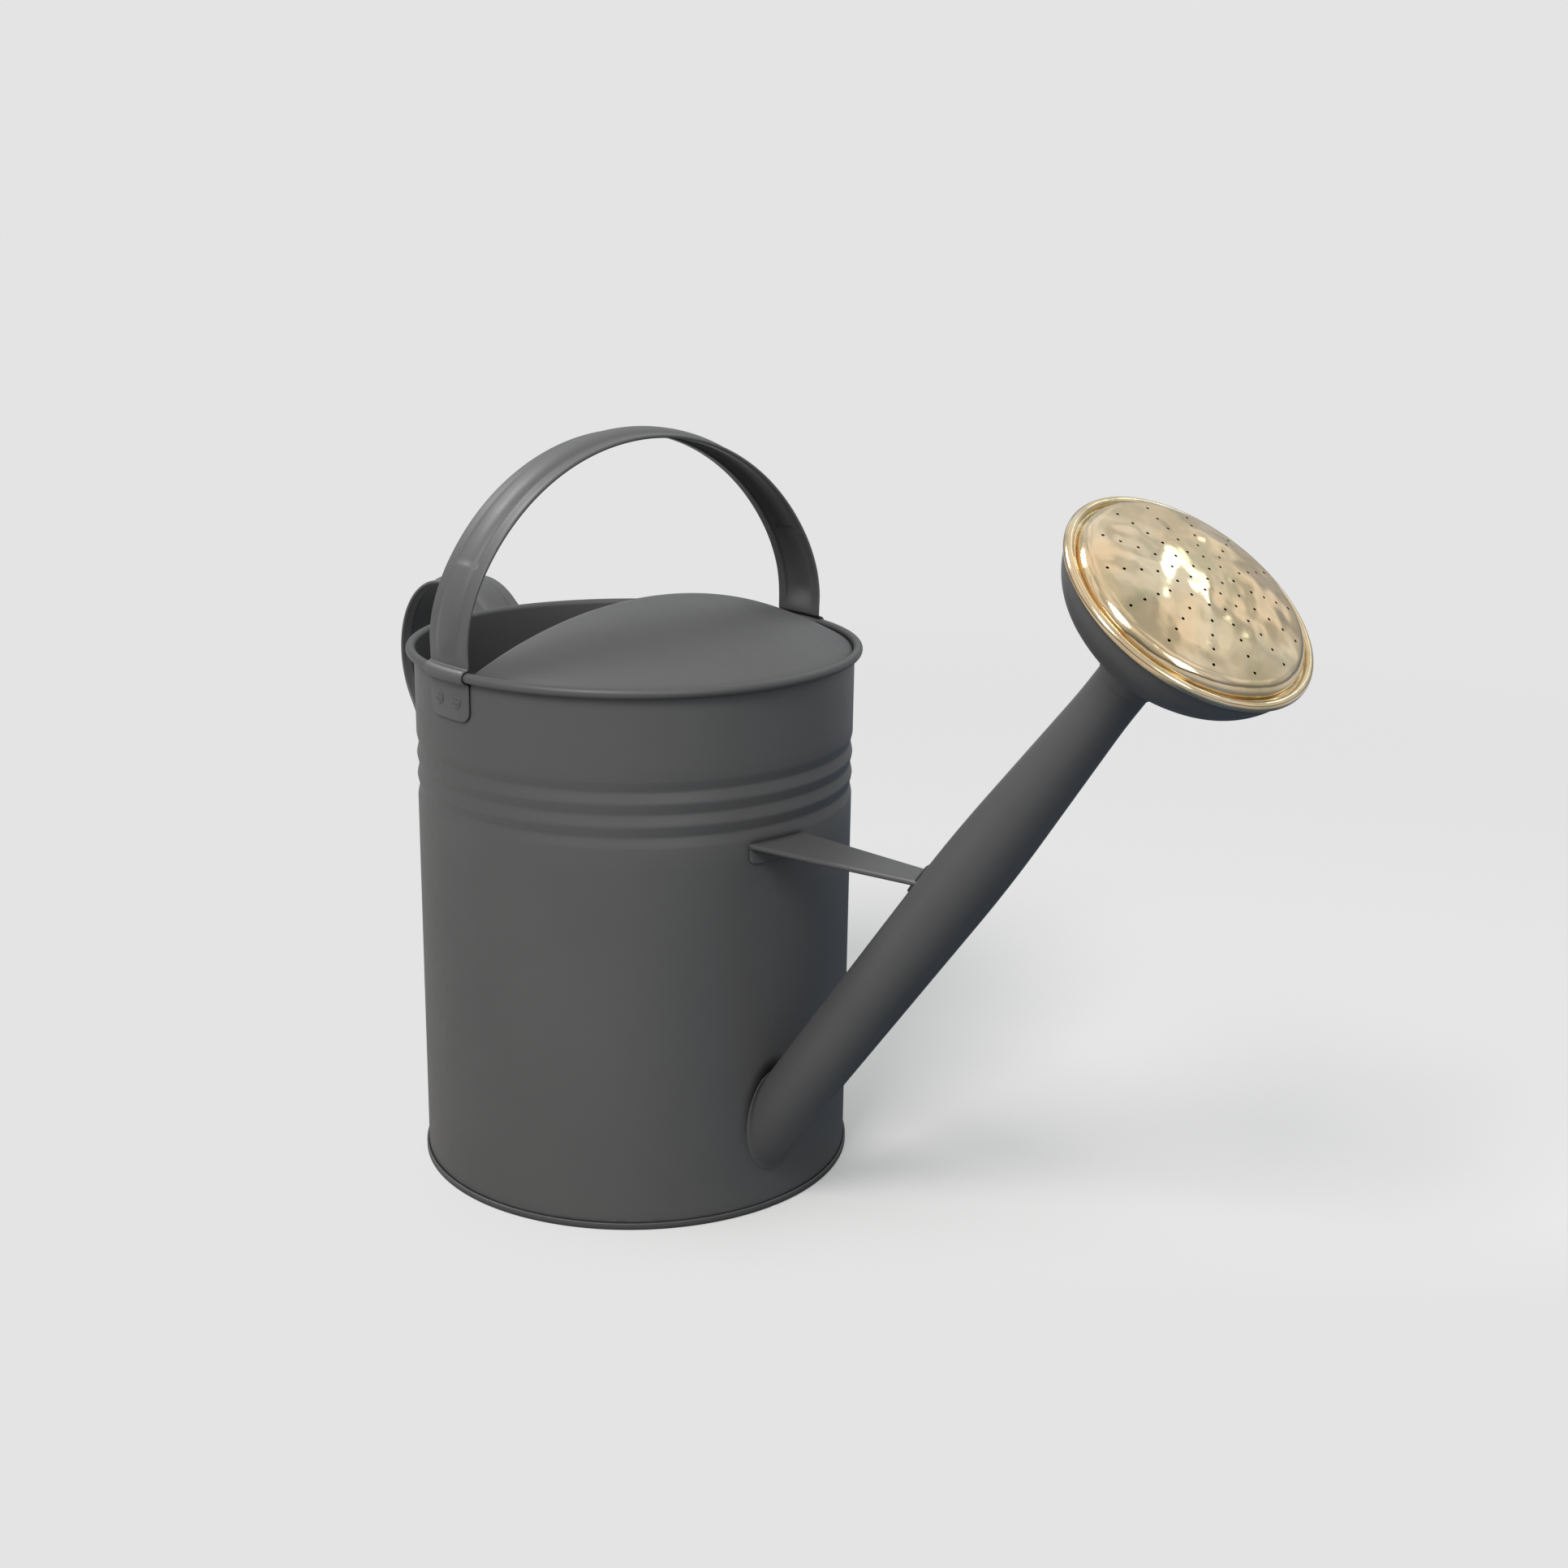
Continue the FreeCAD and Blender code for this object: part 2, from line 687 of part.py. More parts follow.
def draw_arch(sketch, span, foot, knee, knee_height, side, top):
    """Open line of three tangent arcs from the foot at +span over the top to the foot at -span."""
    pieces = [
        add_arc(sketch, (span, foot), (knee, knee_height), side, 1),
        add_arc(sketch, (knee, knee_height), (-knee, knee_height), top, 1),
        add_arc(sketch, (-knee, knee_height), (-span, foot), side, 1),
    ]
    for piece, radius in zip(pieces, (side, top, side)):
        index = sketch.addConstraint(Sketcher.Constraint("Radius", piece, radius.value))
        bind(sketch, f"Constraints[{index}]", radius)
    for first, second in zip(pieces, pieces[1:]):
        sketch.addConstraint(Sketcher.Constraint("Coincident", first, 2, second, 1))
    pin(sketch, pieces[0], 1, (span, foot))
    pin(sketch, pieces[0], 2, (knee, knee_height))
    pin(sketch, pieces[1], 2, (-knee, knee_height))
    pin(sketch, pieces[2], 2, (-span, foot))


def tangent_run(dim, height, upper):
    """Where a straight run from the wall at height touches the rear handle's loop, and its slope.

    Returns the touching point and the run's inner end, which lies inside the wall's radius.
    """
    across = dim.rear_standoff
    up = dim.rear_height - height
    far = root(across * across + up * up)
    if upper:
        turn = arcsine(dim.rear_loop / far) + arctangent(up / across)
    else:
        turn = arctangent(up / across) - arcsine(dim.rear_loop / far)
    way = 1 if upper else -1
    touch = (
        dim.rear_reach - way * dim.rear_loop * sine(turn),
        dim.rear_height + way * dim.rear_loop * cosine(turn),
    )
    slope = sine(turn) / cosine(turn)
    end = (dim.body_radius - OVERRUN, height - OVERRUN * slope)
    return touch, end


def draw_run(sketch, dim, touch, end, upper):
    """Open line along the loop from its outermost point to touch, then straight to end."""
    outermost = (-(dim.rear_reach + dim.rear_loop), dim.rear_height)
    touch = (-touch[0], touch[1])
    end = (-end[0], end[1])
    arc = add_arc(sketch, outermost, touch, dim.rear_loop, -1 if upper else 1)
    ends = [FreeCAD.Vector(p[0].value, p[1].value, 0) for p in (touch, end)]
    line = sketch.addGeometry(Part.LineSegment(*ends))
    first, last = (2, 1) if upper else (1, 2)
    sketch.addConstraint(Sketcher.Constraint("Coincident", arc, last, line, 1))
    index = sketch.addConstraint(Sketcher.Constraint("Radius", arc, dim.rear_loop.value))
    bind(sketch, f"Constraints[{index}]", dim.rear_loop)
    pin(sketch, arc, first, outermost)
    pin(sketch, line, 1, touch)
    pin(sketch, line, 2, end)


def rear_tab_spans(dim):
    """Lower and upper height of each of the rear handle's tabs."""
    skin = dim.tab_sheet
    return (
        (dim.rear_top - dim.rear_tab_length, dim.rear_top + 2 * skin),
        (dim.rear_foot - dim.rear_tab_length - SEAT * skin, dim.rear_foot - skin),
    )


def rear_rivet_heights(dim):
    return [low + dim.rear_rivet_inset for low, high in rear_tab_spans(dim)]


def make_rear_handle(doc, dim):
    """Tipping handle: a strap that leaves the wall below the rim, loops over and runs down to it."""
    body = new_body(doc, "rear_handle")
    section = sketch_on(body, "strap_section", "XY_Plane", dim.rear_height)
    draw_strap(section, dim, dim.rear_width, 1, -(dim.rear_reach + dim.rear_loop), -1)
    for name, height, upper in (("upper", dim.rear_top, True), ("lower", dim.rear_foot, False)):
        touch, end = tangent_run(dim, height, upper)
        spine = sketch_on(body, f"{name}_line", "XZ_Plane")
        draw_run(spine, dim, touch, end, upper)
        pipe(body, section, spine, f"{name}_run")
        doc.recompute()
    face = dim.tab_face
    angle = 2 * arcsine(dim.rear_width / 2 / dim.body_radius)
    for number, (low, high) in enumerate(rear_tab_spans(dim), start=1):
        tab = sketch_on(body, f"tab_section_{number}", "XZ_Plane")
        rectangle(tab, (-face - dim.tab_sheet, low), (-face, high))
        revolve(body, tab, f"tab_{number}", angle)
        doc.recompute()
    clear = sketch_on(body, "wall_clearance", "XZ_Plane")
    rectangle(clear, (0, dim.base_recess), (face, dim.rim_height + dim.body_radius))
    groove(body, clear, "fitted_to_wall")
    outside = -(dim.body_radius + CLEAR * dim.tab_sheet)
    holes = sketch_on(body, "rivet_holes", "YZ_Plane", outside)
    for height in rear_rivet_heights(dim):
        for way in (-1, 1):
            add_circle(
                holes, (way * dim.rivet_spread, height), dim.rivet_radius + dim.rivet_clearance
            )
    pocket(body, holes, "rivets_bored", reverse=True)
    doc.recompute()
    feet = [span[0].value for span in rear_tab_spans(dim)]
    round_tabs(body, dim, feet)
    return body


def make_rivet(doc, dim, name, base, axis, angle):
    """One rivet along its local +Z: a head on the tab, a shank and a head inside the wall."""
    tab_back = dim.tab_face + dim.tab_sheet
    reach = dim.rivet_spread + dim.rivet_head
    inner_face = root(dim.inner_radius * dim.inner_radius - reach * reach)
    parts = [
        (dim.rivet_radius, inner_face, tab_back - inner_face, "shank"),
        (dim.rivet_head, tab_back, dim.rivet_head_height, "head"),
        (dim.rivet_head, inner_face - dim.rivet_head_height, dim.rivet_head_height, "tail"),
    ]
    pieces = []
    for radius, start, length, part in parts:
        piece = primitive(doc, "Part::Cylinder", f"{name}_{part}", Radius=radius, Height=length)
        away = [as_size(v) for v in base]
        direction = FreeCAD.Rotation(FreeCAD.Vector(*axis), angle).multVec(FreeCAD.Vector(0, 0, 1))
        spot = [value + round(step) * start for value, step in zip(away, direction)]
        place(piece, spot, axis, as_size(angle))
        pieces.append(piece)
    return fuse(doc, name, pieces)


def make_rivets(doc, dim, label, places):
    """A group of like rivets, each a separate solid."""
    rivets = [
        make_rivet(doc, dim, f"{label}_{number}", base, axis, angle)
        for number, (base, axis, angle) in enumerate(places, start=1)
    ]
    group = doc.addObject("Part::Compound", label)
    group.Links = rivets
    group.Label = label
    return group


# ---------------------------------------------------------------------------------------------
# Spout and brace
# ---------------------------------------------------------------------------------------------


def on_spout(thing, dim):
    """Put an object made along +Z on the spout's axis, its origin where the axis crosses the wall."""
    place(thing, (dim.body_radius, 0, dim.spout_height), (0, 1, 0), 90 - dim.spout_angle)


def spout_bore(dim):
    """Bore radius at the spout's root."""
    return dim.root_radius - dim.sheet


def spout_profile(dim, inset):
    """Steps up the spout's side at a depth of inset under its outer face, from the wall to the end."""
    back = (dim.waist_radius - dim.root_radius) / dim.waist_place
    ahead = (dim.waist_radius - dim.tip_radius) / (dim.tip_place - dim.waist_place)
    bend = arctangent(back) + arctangent(ahead)
    low = dim.waist_radius - dim.spout_blend * back - inset
    high = dim.waist_radius - dim.spout_blend * ahead - inset
    chord = root(4 * dim.spout_blend * dim.spout_blend + (low - high) * (low - high))
    return [
        (low, dim.waist_place - dim.spout_blend),
        (high, dim.waist_place + dim.spout_blend, chord / (2 * sine(bend / 2)), 1),
        (dim.tip_radius - inset, dim.tip_place),
        (dim.tip_radius - inset, dim.spout_length),
    ]


def make_spout(doc, dim, can_core):
    """Tapered tube, saddled to the wall, with a narrow lip brazed around its root."""
    tube = new_body(doc, "tube")
    below = -2 * dim.root_radius
    slope = (dim.waist_radius - dim.root_radius) / dim.waist_place
    foot = dim.root_radius + below * slope
    section = sketch_on(tube, "tube_section", "XZ_Plane")
    outside = [(foot, below)] + spout_profile(dim, as_size(0))
    inside = [(foot - dim.sheet, below)] + spout_profile(dim, dim.sheet)
    steps = outside[1:] + [inside[-1]] + backwards(inside[0], inside[1:]) + [(foot, below)]
    draw(section, outside[0], steps)
    revolve(tube, section, "tube_turned")
    on_spout(tube, dim)
    collar = primitive(
        doc,
        "Part::Cylinder",
        "lip_collar",
        Radius=dim.root_radius + dim.lip_width,
        Height=2 * SPAN * dim.root_radius,
    )
    reach = SPAN * dim.root_radius
    angle = dim.spout_angle
    place(
        collar,
        (dim.body_radius - reach * cosine(angle), 0, dim.spout_height - reach * sine(angle)),
        (0, 1, 0),
        90 - angle,
    )
    skin = primitive(
        doc,
        "Part::Cylinder",
        "lip_skin",
        Radius=dim.body_radius + dim.lip_height,
        Height=dim.rim_height,
    )
    lip = doc.addObject("Part::Common", "lip_sheet")
    lip.Base = collar
    lip.Tool = skin
    bore = spout_bore_tool(doc, dim, "lip_bore")
    ring = cut(doc, "lip_ring", lip, bore)
    solid = fuse(doc, "spout_blank", [tube, ring])
    return cut(doc, "spout_tube", solid, can_core)


def spout_bore_tool(doc, dim, name):
    """Cylinder along the spout's axis through the wall."""
    tool = primitive(
        doc,
        "Part::Cylinder",
        name,
        Radius=spout_bore(dim) + dim.sheet / 2,
        Height=2 * SPAN * dim.root_radius,
    )
    reach = SPAN * dim.root_radius
    angle = dim.spout_angle
    place(
        tool,
        (dim.body_radius - reach * cosine(angle), 0, dim.spout_height - reach * sine(angle)),
        (0, 1, 0),
        90 - angle,
    )
    return tool


def make_brace(doc, dim, can_clearance):
    """Tapered channel from the wall to the spout, with a flange on the wall and a tab on the spout."""
    fit = dim.brace_end_width / 2
    slope = (dim.waist_radius - dim.root_radius) / dim.waist_place
    rise = dim.brace_end_height - dim.brace_height
    along_guess = (dim.brace_end_height - dim.spout_height) / sine(dim.spout_angle)
    radius = dim.root_radius + along_guess * slope + dim.brace_gap
    offset = root(radius * radius - fit * fit)
    along = (dim.brace_end_height - dim.spout_height - offset * cosine(dim.spout_angle)) / sine(
        dim.spout_angle
    )
    end = dim.body_radius + along * cosine(dim.spout_angle) - offset * sine(dim.spout_angle)
    length = end - dim.body_radius
    lean = arctangent(rise / length)
    plate = new_body(doc, "brace_plate")
    outline = sketch_on(plate, "plate_outline", "XY_Plane")
    root_x = -2 * dim.brace_flange
    tip_x = root(length * length + rise * rise) + dim.waist_radius / 2
    taper = (dim.brace_width - dim.brace_end_width) / 2 / length
    root_half = dim.brace_width / 2 - root_x * taper
    tip_half = dim.brace_width / 2 - tip_x * taper
    draw(
        outline,
        (root_x, -root_half),
        [(tip_x, -tip_half), (tip_x, tip_half), (root_x, root_half), (root_x, -root_half)],
    )
    pad = plate.newObject("PartDesign::Pad", "plate_padded")
    pad.Profile = outline
    pad.Reversed = True
    pad.Length = dim.brace_fold.value
    bind(pad, "Length", dim.brace_fold)
    doc.recompute()
    hollow = sketch_on(plate, "plate_hollow", "XY_Plane", -dim.brace_sheet)
    skin = dim.brace_sheet
    draw(
        hollow,
        (root_x, skin - root_half),
        [
            (tip_x, skin - tip_half),
            (tip_x, tip_half - skin),
            (root_x, root_half - skin),
            (root_x, skin - root_half),
        ],
    )
    pocket(plate, hollow, "plate_hollowed")
    place(plate, (dim.body_radius, 0, dim.brace_height), (0, 1, 0), -lean)
    flange = new_body(doc, "brace_flange_sheet")
    section = sketch_on(flange, "flange_section", "XZ_Plane")
    face = dim.body_radius + dim.brace_gap
    rectangle(
        section,
        (face, dim.brace_height - dim.brace_flange),
        (face + skin, dim.brace_height),
    )
    revolve(flange, section, "flange_turned", 2 * arcsine(dim.brace_width / 2 / dim.body_radius))
    tab = new_body(doc, "brace_tab_sheet")
    tab_section = sketch_on(tab, "tab_section", "XZ_Plane")
    start = along - dim.brace_tab / 2
    hold = dim.root_radius + (start + dim.brace_tab) * slope + dim.brace_gap
    rectangle(tab_section, (-hold - skin, start), (-hold, start + dim.brace_tab))
    revolve(tab, tab_section, "tab_turned", 2 * arcsine(fit / radius))
    on_spout(tab, dim)
    spout_clearance = primitive(
        doc,
        "Part::Cylinder",
        "brace_spout_clearance",
        Radius=hold,
        Height=dim.spout_length,
    )
    on_spout(spout_clearance, dim)
    trimmed = cut(doc, "brace_trimmed", plate, can_clearance)
    fitted = cut(doc, "brace_fitted", trimmed, spout_clearance)
    return fuse(doc, "spout_brace", [fitted, flange, tab])


# ---------------------------------------------------------------------------------------------
# Rose
# ---------------------------------------------------------------------------------------------


def socket_mouth(dim):
    """Distance along the spout where the socket starts."""
    return dim.rose_place - dim.socket_depth


def socket_bore(dim):
    return dim.tip_radius + dim.socket_clearance


def make_rose_cup(doc, dim):
    """Bowl of the rose: a flared neck, a round side and a beaded edge inside the rolled ring."""
    skin, bead = dim.cup_sheet, dim.cup_edge
    neck = socket_bore(dim) + dim.socket_sheet
    low = dim.rose_place - dim.cup_depth
    slope, knee = dim.cup_slope, dim.cup_knee
    mouth = dim.ring_radius - bead * cosine(slope)
    high = dim.rose_place - bead * sine(slope)
    half = skin / 2
    inner = dim.cup_round - half
    outer = dim.cup_round + half
    centre = mouth - dim.cup_round * sine(slope)
    level = high + dim.cup_round * cosine(slope)
    bend = centre + inner * sine(knee)
    bend_level = level - inner * cosine(knee)
    across = bend - neck
    rise = bend_level - low - skin
    chord = across * across + rise * rise
    flare = chord / (2 * (across * sine(knee) - rise * cosine(knee)))
    body = new_body(doc, "rose_cup")
    section = sketch_on(body, "cup_section", "XZ_Plane")
    foot = neck + skin
    reach = foot - bend + flare * sine(knee)
    wide = flare + skin
    start = bend_level + flare * cosine(knee) - root(wide * wide - reach * reach)
    draw(
        section,
        (neck, start),
        [
            (foot, start),
            (centre + outer * sine(knee), level - outer * cosine(knee), wide, 1),
            (mouth + half * sine(slope), high - half * cosine(slope), outer, 1),
            (mouth - half * sine(slope), high + half * cosine(slope), bead, 1, True),
            (bend, bend_level, inner, -1),
            (neck, low + skin, flare, -1),
            (neck, start),
        ],
    )
    revolve(body, section, "cup_turned")
    on_spout(body, dim)
    return body


def make_rose_socket(doc, dim):
    """Sleeve that slips over the spout's tip, with a stop for the seal."""
    bore = socket_bore(dim)
    outer = bore + dim.socket_sheet
    low = socket_mouth(dim)
    stop = dim.spout_length + dim.seal_height + 2 * dim.seal_gap
    end = stop + dim.socket_sheet
    body = new_body(doc, "rose_socket")
    section = sketch_on(body, "socket_section", "XZ_Plane")
    draw(
        section,
        (bore, low),
        [
            (outer, low),
            (outer, end),
            (bore - dim.stop_reach, end),
            (bore - dim.stop_reach, stop),
            (bore, stop),
            (bore, low),
        ],
    )
    revolve(body, section, "socket_turned")
    on_spout(body, dim)
    return body


def make_rose_seal(doc, dim):
    """Rubber ring between the spout's end and the socket's stop."""
    outer = dim.tip_radius
    low = dim.spout_length + dim.seal_gap
    body = new_body(doc, "rose_seal")
    section = sketch_on(body, "seal_section", "XZ_Plane")
    rectangle(section, (outer - dim.seal_width, low), (outer, low + dim.seal_height))
    revolve(body, section, "seal_turned")
    on_spout(body, dim)
    return body


def make_rose_face(doc, dim):
    """Perforated brass face: a shallow dome on a stepped shoulder, its edge rolled round the cup's."""
    skin = dim.face_sheet
    ring, tube = dim.ring_radius, dim.ring_section
    core = tube - skin
    low = dim.rose_place
    edge = dim.face_shoulder
    ball = (edge * edge + dim.face_rise * dim.face_rise) / (2 * dim.face_rise)
    top = low + dim.face_step + dim.face_rise
    knee_bend = SHOULDER_BEND * skin
    foot = dim.face_valley
    last = dim.roll_end
    body = new_body(doc, "rose_face")
    section = sketch_on(body, "face_section", "XZ_Plane")
    inner_ball = ball - skin
    inner_edge = edge - skin
    inner_top = top - ball + root(inner_ball * inner_ball - inner_edge * inner_edge)
    draw(
        section,
        (0, top - skin),
        [
            (inner_edge, inner_top, inner_ball, -1),
            (foot - skin, low - skin),
            (ring - tube + skin, low - skin),
            (ring - core, low),
            (ring + core * cosine(last), low + core * sine(last), core, -1, True),
            (ring + tube * cosine(last), low + tube * sine(last)),
            (ring - tube, low, tube, 1, True),
            (foot, low),
            (edge + knee_bend, low + dim.face_step - knee_bend),
            (edge, low + dim.face_step, 2 * knee_bend, 1),
            (0, top, ball, 1),
            (0, top - skin),
        ],
    )
    revolve(body, section, "face_turned")
    doc.recompute()
    drill_rose(doc, dim, body)
    on_spout(body, dim)
    return body


def drill_rose(doc, dim, body):
    """Drill the centre hole, two inner rings and the outer rows through the face."""
    centre = sketch_on(body, "centre_hole", "XY_Plane", dim.rose_place)
    add_circle(centre, (as_size(0), as_size(0)), dim.hole_radius)
    pocket(body, centre, "centre_drilled", reverse=True)
    rings = (
        ("inner", INNER_HOLES, INNER_PHASE, [dim.inner_ring]),
        ("middle", MIDDLE_HOLES, MIDDLE_PHASE, [dim.middle_ring]),
        (
            "outer",
            OUTER_ROWS,
            OUTER_PHASE,
            [dim.row_start + number * dim.row_pitch for number in range(HOLES_PER_ROW)],
        ),
    )
    for name, count, phase, radii in rings:
        sketch = sketch_on(body, f"{name}_holes", "XY_Plane", dim.rose_place)
        angle = as_size(phase)
        for radius in radii:
            add_circle(sketch, (radius * cosine(angle), radius * sine(angle)), dim.hole_radius)
        first = pocket(body, sketch, f"{name}_drilled", reverse=True)
        doc.recompute()
        pattern = body.newObject("PartDesign::PolarPattern", f"{name}_ring")
        pattern.Originals = [first]
        pattern.Axis = (sketch, ["N_Axis"])
        pattern.Angle = 360.0
        pattern.Occurrences = count
        body.Tip = pattern
        doc.recompute()


# ---------------------------------------------------------------------------------------------
# Whole can
# ---------------------------------------------------------------------------------------------


def build(doc):
    """Build every sub-part and return them in order."""
    dim = make_sheet(doc)
    bore = spout_bore_tool(doc, dim, "wall_bore")
    core = primitive(
        doc, "Part::Cylinder", "can_core", Radius=dim.body_radius, Height=dim.rim_height
    )
    clearance = primitive(
        doc,
        "Part::Cylinder",
        "can_clearance",
        Radius=dim.body_radius + dim.brace_gap,
        Height=dim.rim_height,
    )
    parts = [
        make_body_shell(doc, dim, bore),
        make_rim_wire(doc, dim),
        make_base_pan(doc, dim),
        make_half_cover(doc, dim),
        make_carry_handle(doc, dim),
        make_rear_handle(doc, dim),
    ]
    carry_places = []
    for way, angle in ((1, -90.0), (-1, 90.0)):
        for side in (-1, 1):
            base = (side * dim.rivet_spread, as_size(0), dim.carry_rivet_height)
            carry_places.append((base, (1, 0, 0), angle))
    parts.append(make_rivets(doc, dim, "carry_handle_rivets", carry_places))
    rear_places = []
    for height in rear_rivet_heights(dim):
        for side in (-1, 1):
            rear_places.append(((as_size(0), side * dim.rivet_spread, height), (0, 1, 0), -90.0))
    parts.append(make_rivets(doc, dim, "rear_handle_rivets", rear_places))
    parts += [
        make_spout(doc, dim, core),
        make_brace(doc, dim, clearance),
        make_rose_socket(doc, dim),
        make_rose_seal(doc, dim),
        make_rose_cup(doc, dim),
        make_rose_face(doc, dim),
    ]
    doc.recompute()
    return parts


def check(doc, parts):
    """Stop on any failed object or any sub-part without a valid solid."""
    faults = [
        f"{item.Name}: {item.State}"
        for item in doc.Objects
        if "Invalid" in item.State or "Error" in item.State
    ]
    for part in parts:
        shape = part.Shape
        if shape.isNull() or not shape.isValid() or not shape.Solids:
            faults.append(f"{part.Label}: shape is not a valid solid")
    if faults:
        raise RuntimeError("; ".join(faults))


def export(parts):
    """Write each sub-part to its own file."""
    os.makedirs("parts", exist_ok=True)
    for part in parts:
        part.Shape.exportStep(f"parts/{part.Label}.step")
        box = part.Shape.BoundBox
        print(
            f"{part.Label:22s} solids {len(part.Shape.Solids)}  volume {part.Shape.Volume:10.1f}  "
            f"x {box.XMin:7.1f} {box.XMax:7.1f}  y {box.YMin:7.1f} {box.YMax:7.1f}  "
            f"z {box.ZMin:7.1f} {box.ZMax:7.1f}"
        )


document = FreeCAD.newDocument("WateringCan")
sub_parts = build(document)
check(document, sub_parts)
export(sub_parts)
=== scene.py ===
"""A painted steel watering can with folded strap handles and a brass rose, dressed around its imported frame.

Lengths in the classes are millimetres, as on a maker's drawing, and become metres when a mesh is made.
"""
import json
import logging
import math
from dataclasses import dataclass, field
from enum import Enum

import bmesh
import bpy
import numpy as np
from mathutils import Matrix, Vector
from mathutils.geometry import delaunay_2d_cdt


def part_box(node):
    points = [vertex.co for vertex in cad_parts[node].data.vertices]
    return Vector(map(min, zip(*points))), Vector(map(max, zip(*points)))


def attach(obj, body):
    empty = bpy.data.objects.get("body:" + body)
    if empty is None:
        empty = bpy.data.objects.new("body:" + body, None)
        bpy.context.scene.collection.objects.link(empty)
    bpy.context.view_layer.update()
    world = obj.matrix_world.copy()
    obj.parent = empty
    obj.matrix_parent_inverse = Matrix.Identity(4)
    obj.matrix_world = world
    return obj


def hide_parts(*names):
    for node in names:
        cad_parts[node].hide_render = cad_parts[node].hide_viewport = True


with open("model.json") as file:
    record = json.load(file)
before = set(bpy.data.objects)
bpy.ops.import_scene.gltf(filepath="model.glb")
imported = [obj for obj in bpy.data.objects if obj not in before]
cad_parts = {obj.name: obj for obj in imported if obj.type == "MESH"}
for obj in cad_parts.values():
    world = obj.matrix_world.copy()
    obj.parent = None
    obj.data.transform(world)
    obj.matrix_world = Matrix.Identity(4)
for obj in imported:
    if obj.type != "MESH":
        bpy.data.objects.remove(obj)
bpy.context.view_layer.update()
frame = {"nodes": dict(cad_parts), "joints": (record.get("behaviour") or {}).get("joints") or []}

LOG = logging.getLogger("watering_can")

MM = 0.001
WELD = 0.02 * MM
SHARP_ANGLE = math.radians(38)
Points = np.ndarray


# ---------------------------------------------------------------------------------------------
# Lines and sections
# ---------------------------------------------------------------------------------------------


def arc(centre: tuple, radius: float, start: float, stop: float, count: int) -> Points:
    """Points on a circular arc: the centre plus the radius times (cos a, sin a), a going evenly.

    Args:
        centre: The arc's centre.
        radius: Its radius.
        start: First angle, in degrees.
        stop: Last angle, in degrees.
        count: How many points.

    Returns:
        An array of count rows and two columns.
    """
    angle = np.radians(np.linspace(start, stop, count))
    return np.column_stack([centre[0] + radius * np.cos(angle), centre[1] + radius * np.sin(angle)])


def line(first: tuple, last: tuple, count: int) -> Points:
    """Points evenly spaced from first to last.

    Args:
        first: First point.
        last: Last point.
        count: How many points.

    Returns:
        An array of count rows.
    """
    return np.linspace(np.array(first, float), np.array(last, float), count)


def join(*parts: Points) -> Points:
    """One line out of several, with a point that repeats the one before it left out.

    Args:
        parts: Lines in order.

    Returns:
        The joined line.
    """
    whole = np.vstack(parts)
    step = np.linalg.norm(np.diff(whole, axis=0), axis=1)
    return whole[np.concatenate([[True], step > 1e-4])]


def fillet(before: tuple, corner: tuple, after: tuple, radius: float, count: int) -> Points:
    """Arc that rounds a corner: it touches both legs at radius times the tangent of half the turn.

    Args:
        before: A point on the leg that arrives.
        corner: The corner.
        after: A point on the leg that leaves.
        radius: Radius of the arc.
        count: How many points.

    Returns:
        The arc from the first leg to the second.
    """
    tip = np.array(corner, float)
    arrive = tip - np.array(before, float)
    leave = np.array(after, float) - tip
    arrive /= np.linalg.norm(arrive)
    leave /= np.linalg.norm(leave)
    turn = math.atan2(arrive[0] * leave[1] - arrive[1] * leave[0], float(arrive @ leave))
    start = tip - arrive * radius * math.tan(abs(turn) / 2)
    side = math.copysign(1.0, turn)
    inward = side * np.array([-arrive[1], arrive[0]])
    sweep = np.linspace(0, abs(turn), count)[:, None]
    return start + radius * (np.sin(sweep) * arrive + (1 - np.cos(sweep)) * inward)


def tangents(path: Points) -> Points:
    """Unit direction of a line at each of its points, by central differences."""
    step = np.gradient(path, axis=0)
    return step / np.linalg.norm(step, axis=1, keepdims=True)


def normals_left(path: Points) -> Points:
    """Unit normal on the left hand of a plane line: its direction turned a quarter turn."""
    way = tangents(path)
    return np.column_stack([-way[:, 1], way[:, 0]])


def sheet_outline(middle: Points, thickness: float, cap: int = 3) -> Points:
    """Closed outline of a bent sheet: its middle line moved half a thickness to each side.

    The two ends are closed by half circles, so the sheet's edges are softly rounded.

    Args:
        middle: The sheet's middle line.
        thickness: The sheet's thickness.
        cap: Points on each rounded end.

    Returns:
        The outline, its first point not repeated.
    """
    half = thickness / 2
    way = tangents(middle)
    left = normals_left(middle)
    turn = np.linspace(0, math.pi, cap + 2)[1:-1, None]
    last = middle[-1] + half * (np.cos(turn) * left[-1] + np.sin(turn) * way[-1])
    first = middle[0] - half * (np.cos(turn) * left[0] + np.sin(turn) * way[0])
    return np.vstack([middle + half * left, last, (middle - half * left)[::-1], first])


def soft_step(value: Points, low: float, high: float) -> Points:
    """Smooth rise from 0 below low to 1 above high: three times t squared less twice t cubed."""
    t = np.clip((value - low) / (high - low), 0, 1)
    return t * t * (3 - 2 * t)


# ---------------------------------------------------------------------------------------------
# Meshes
# ---------------------------------------------------------------------------------------------


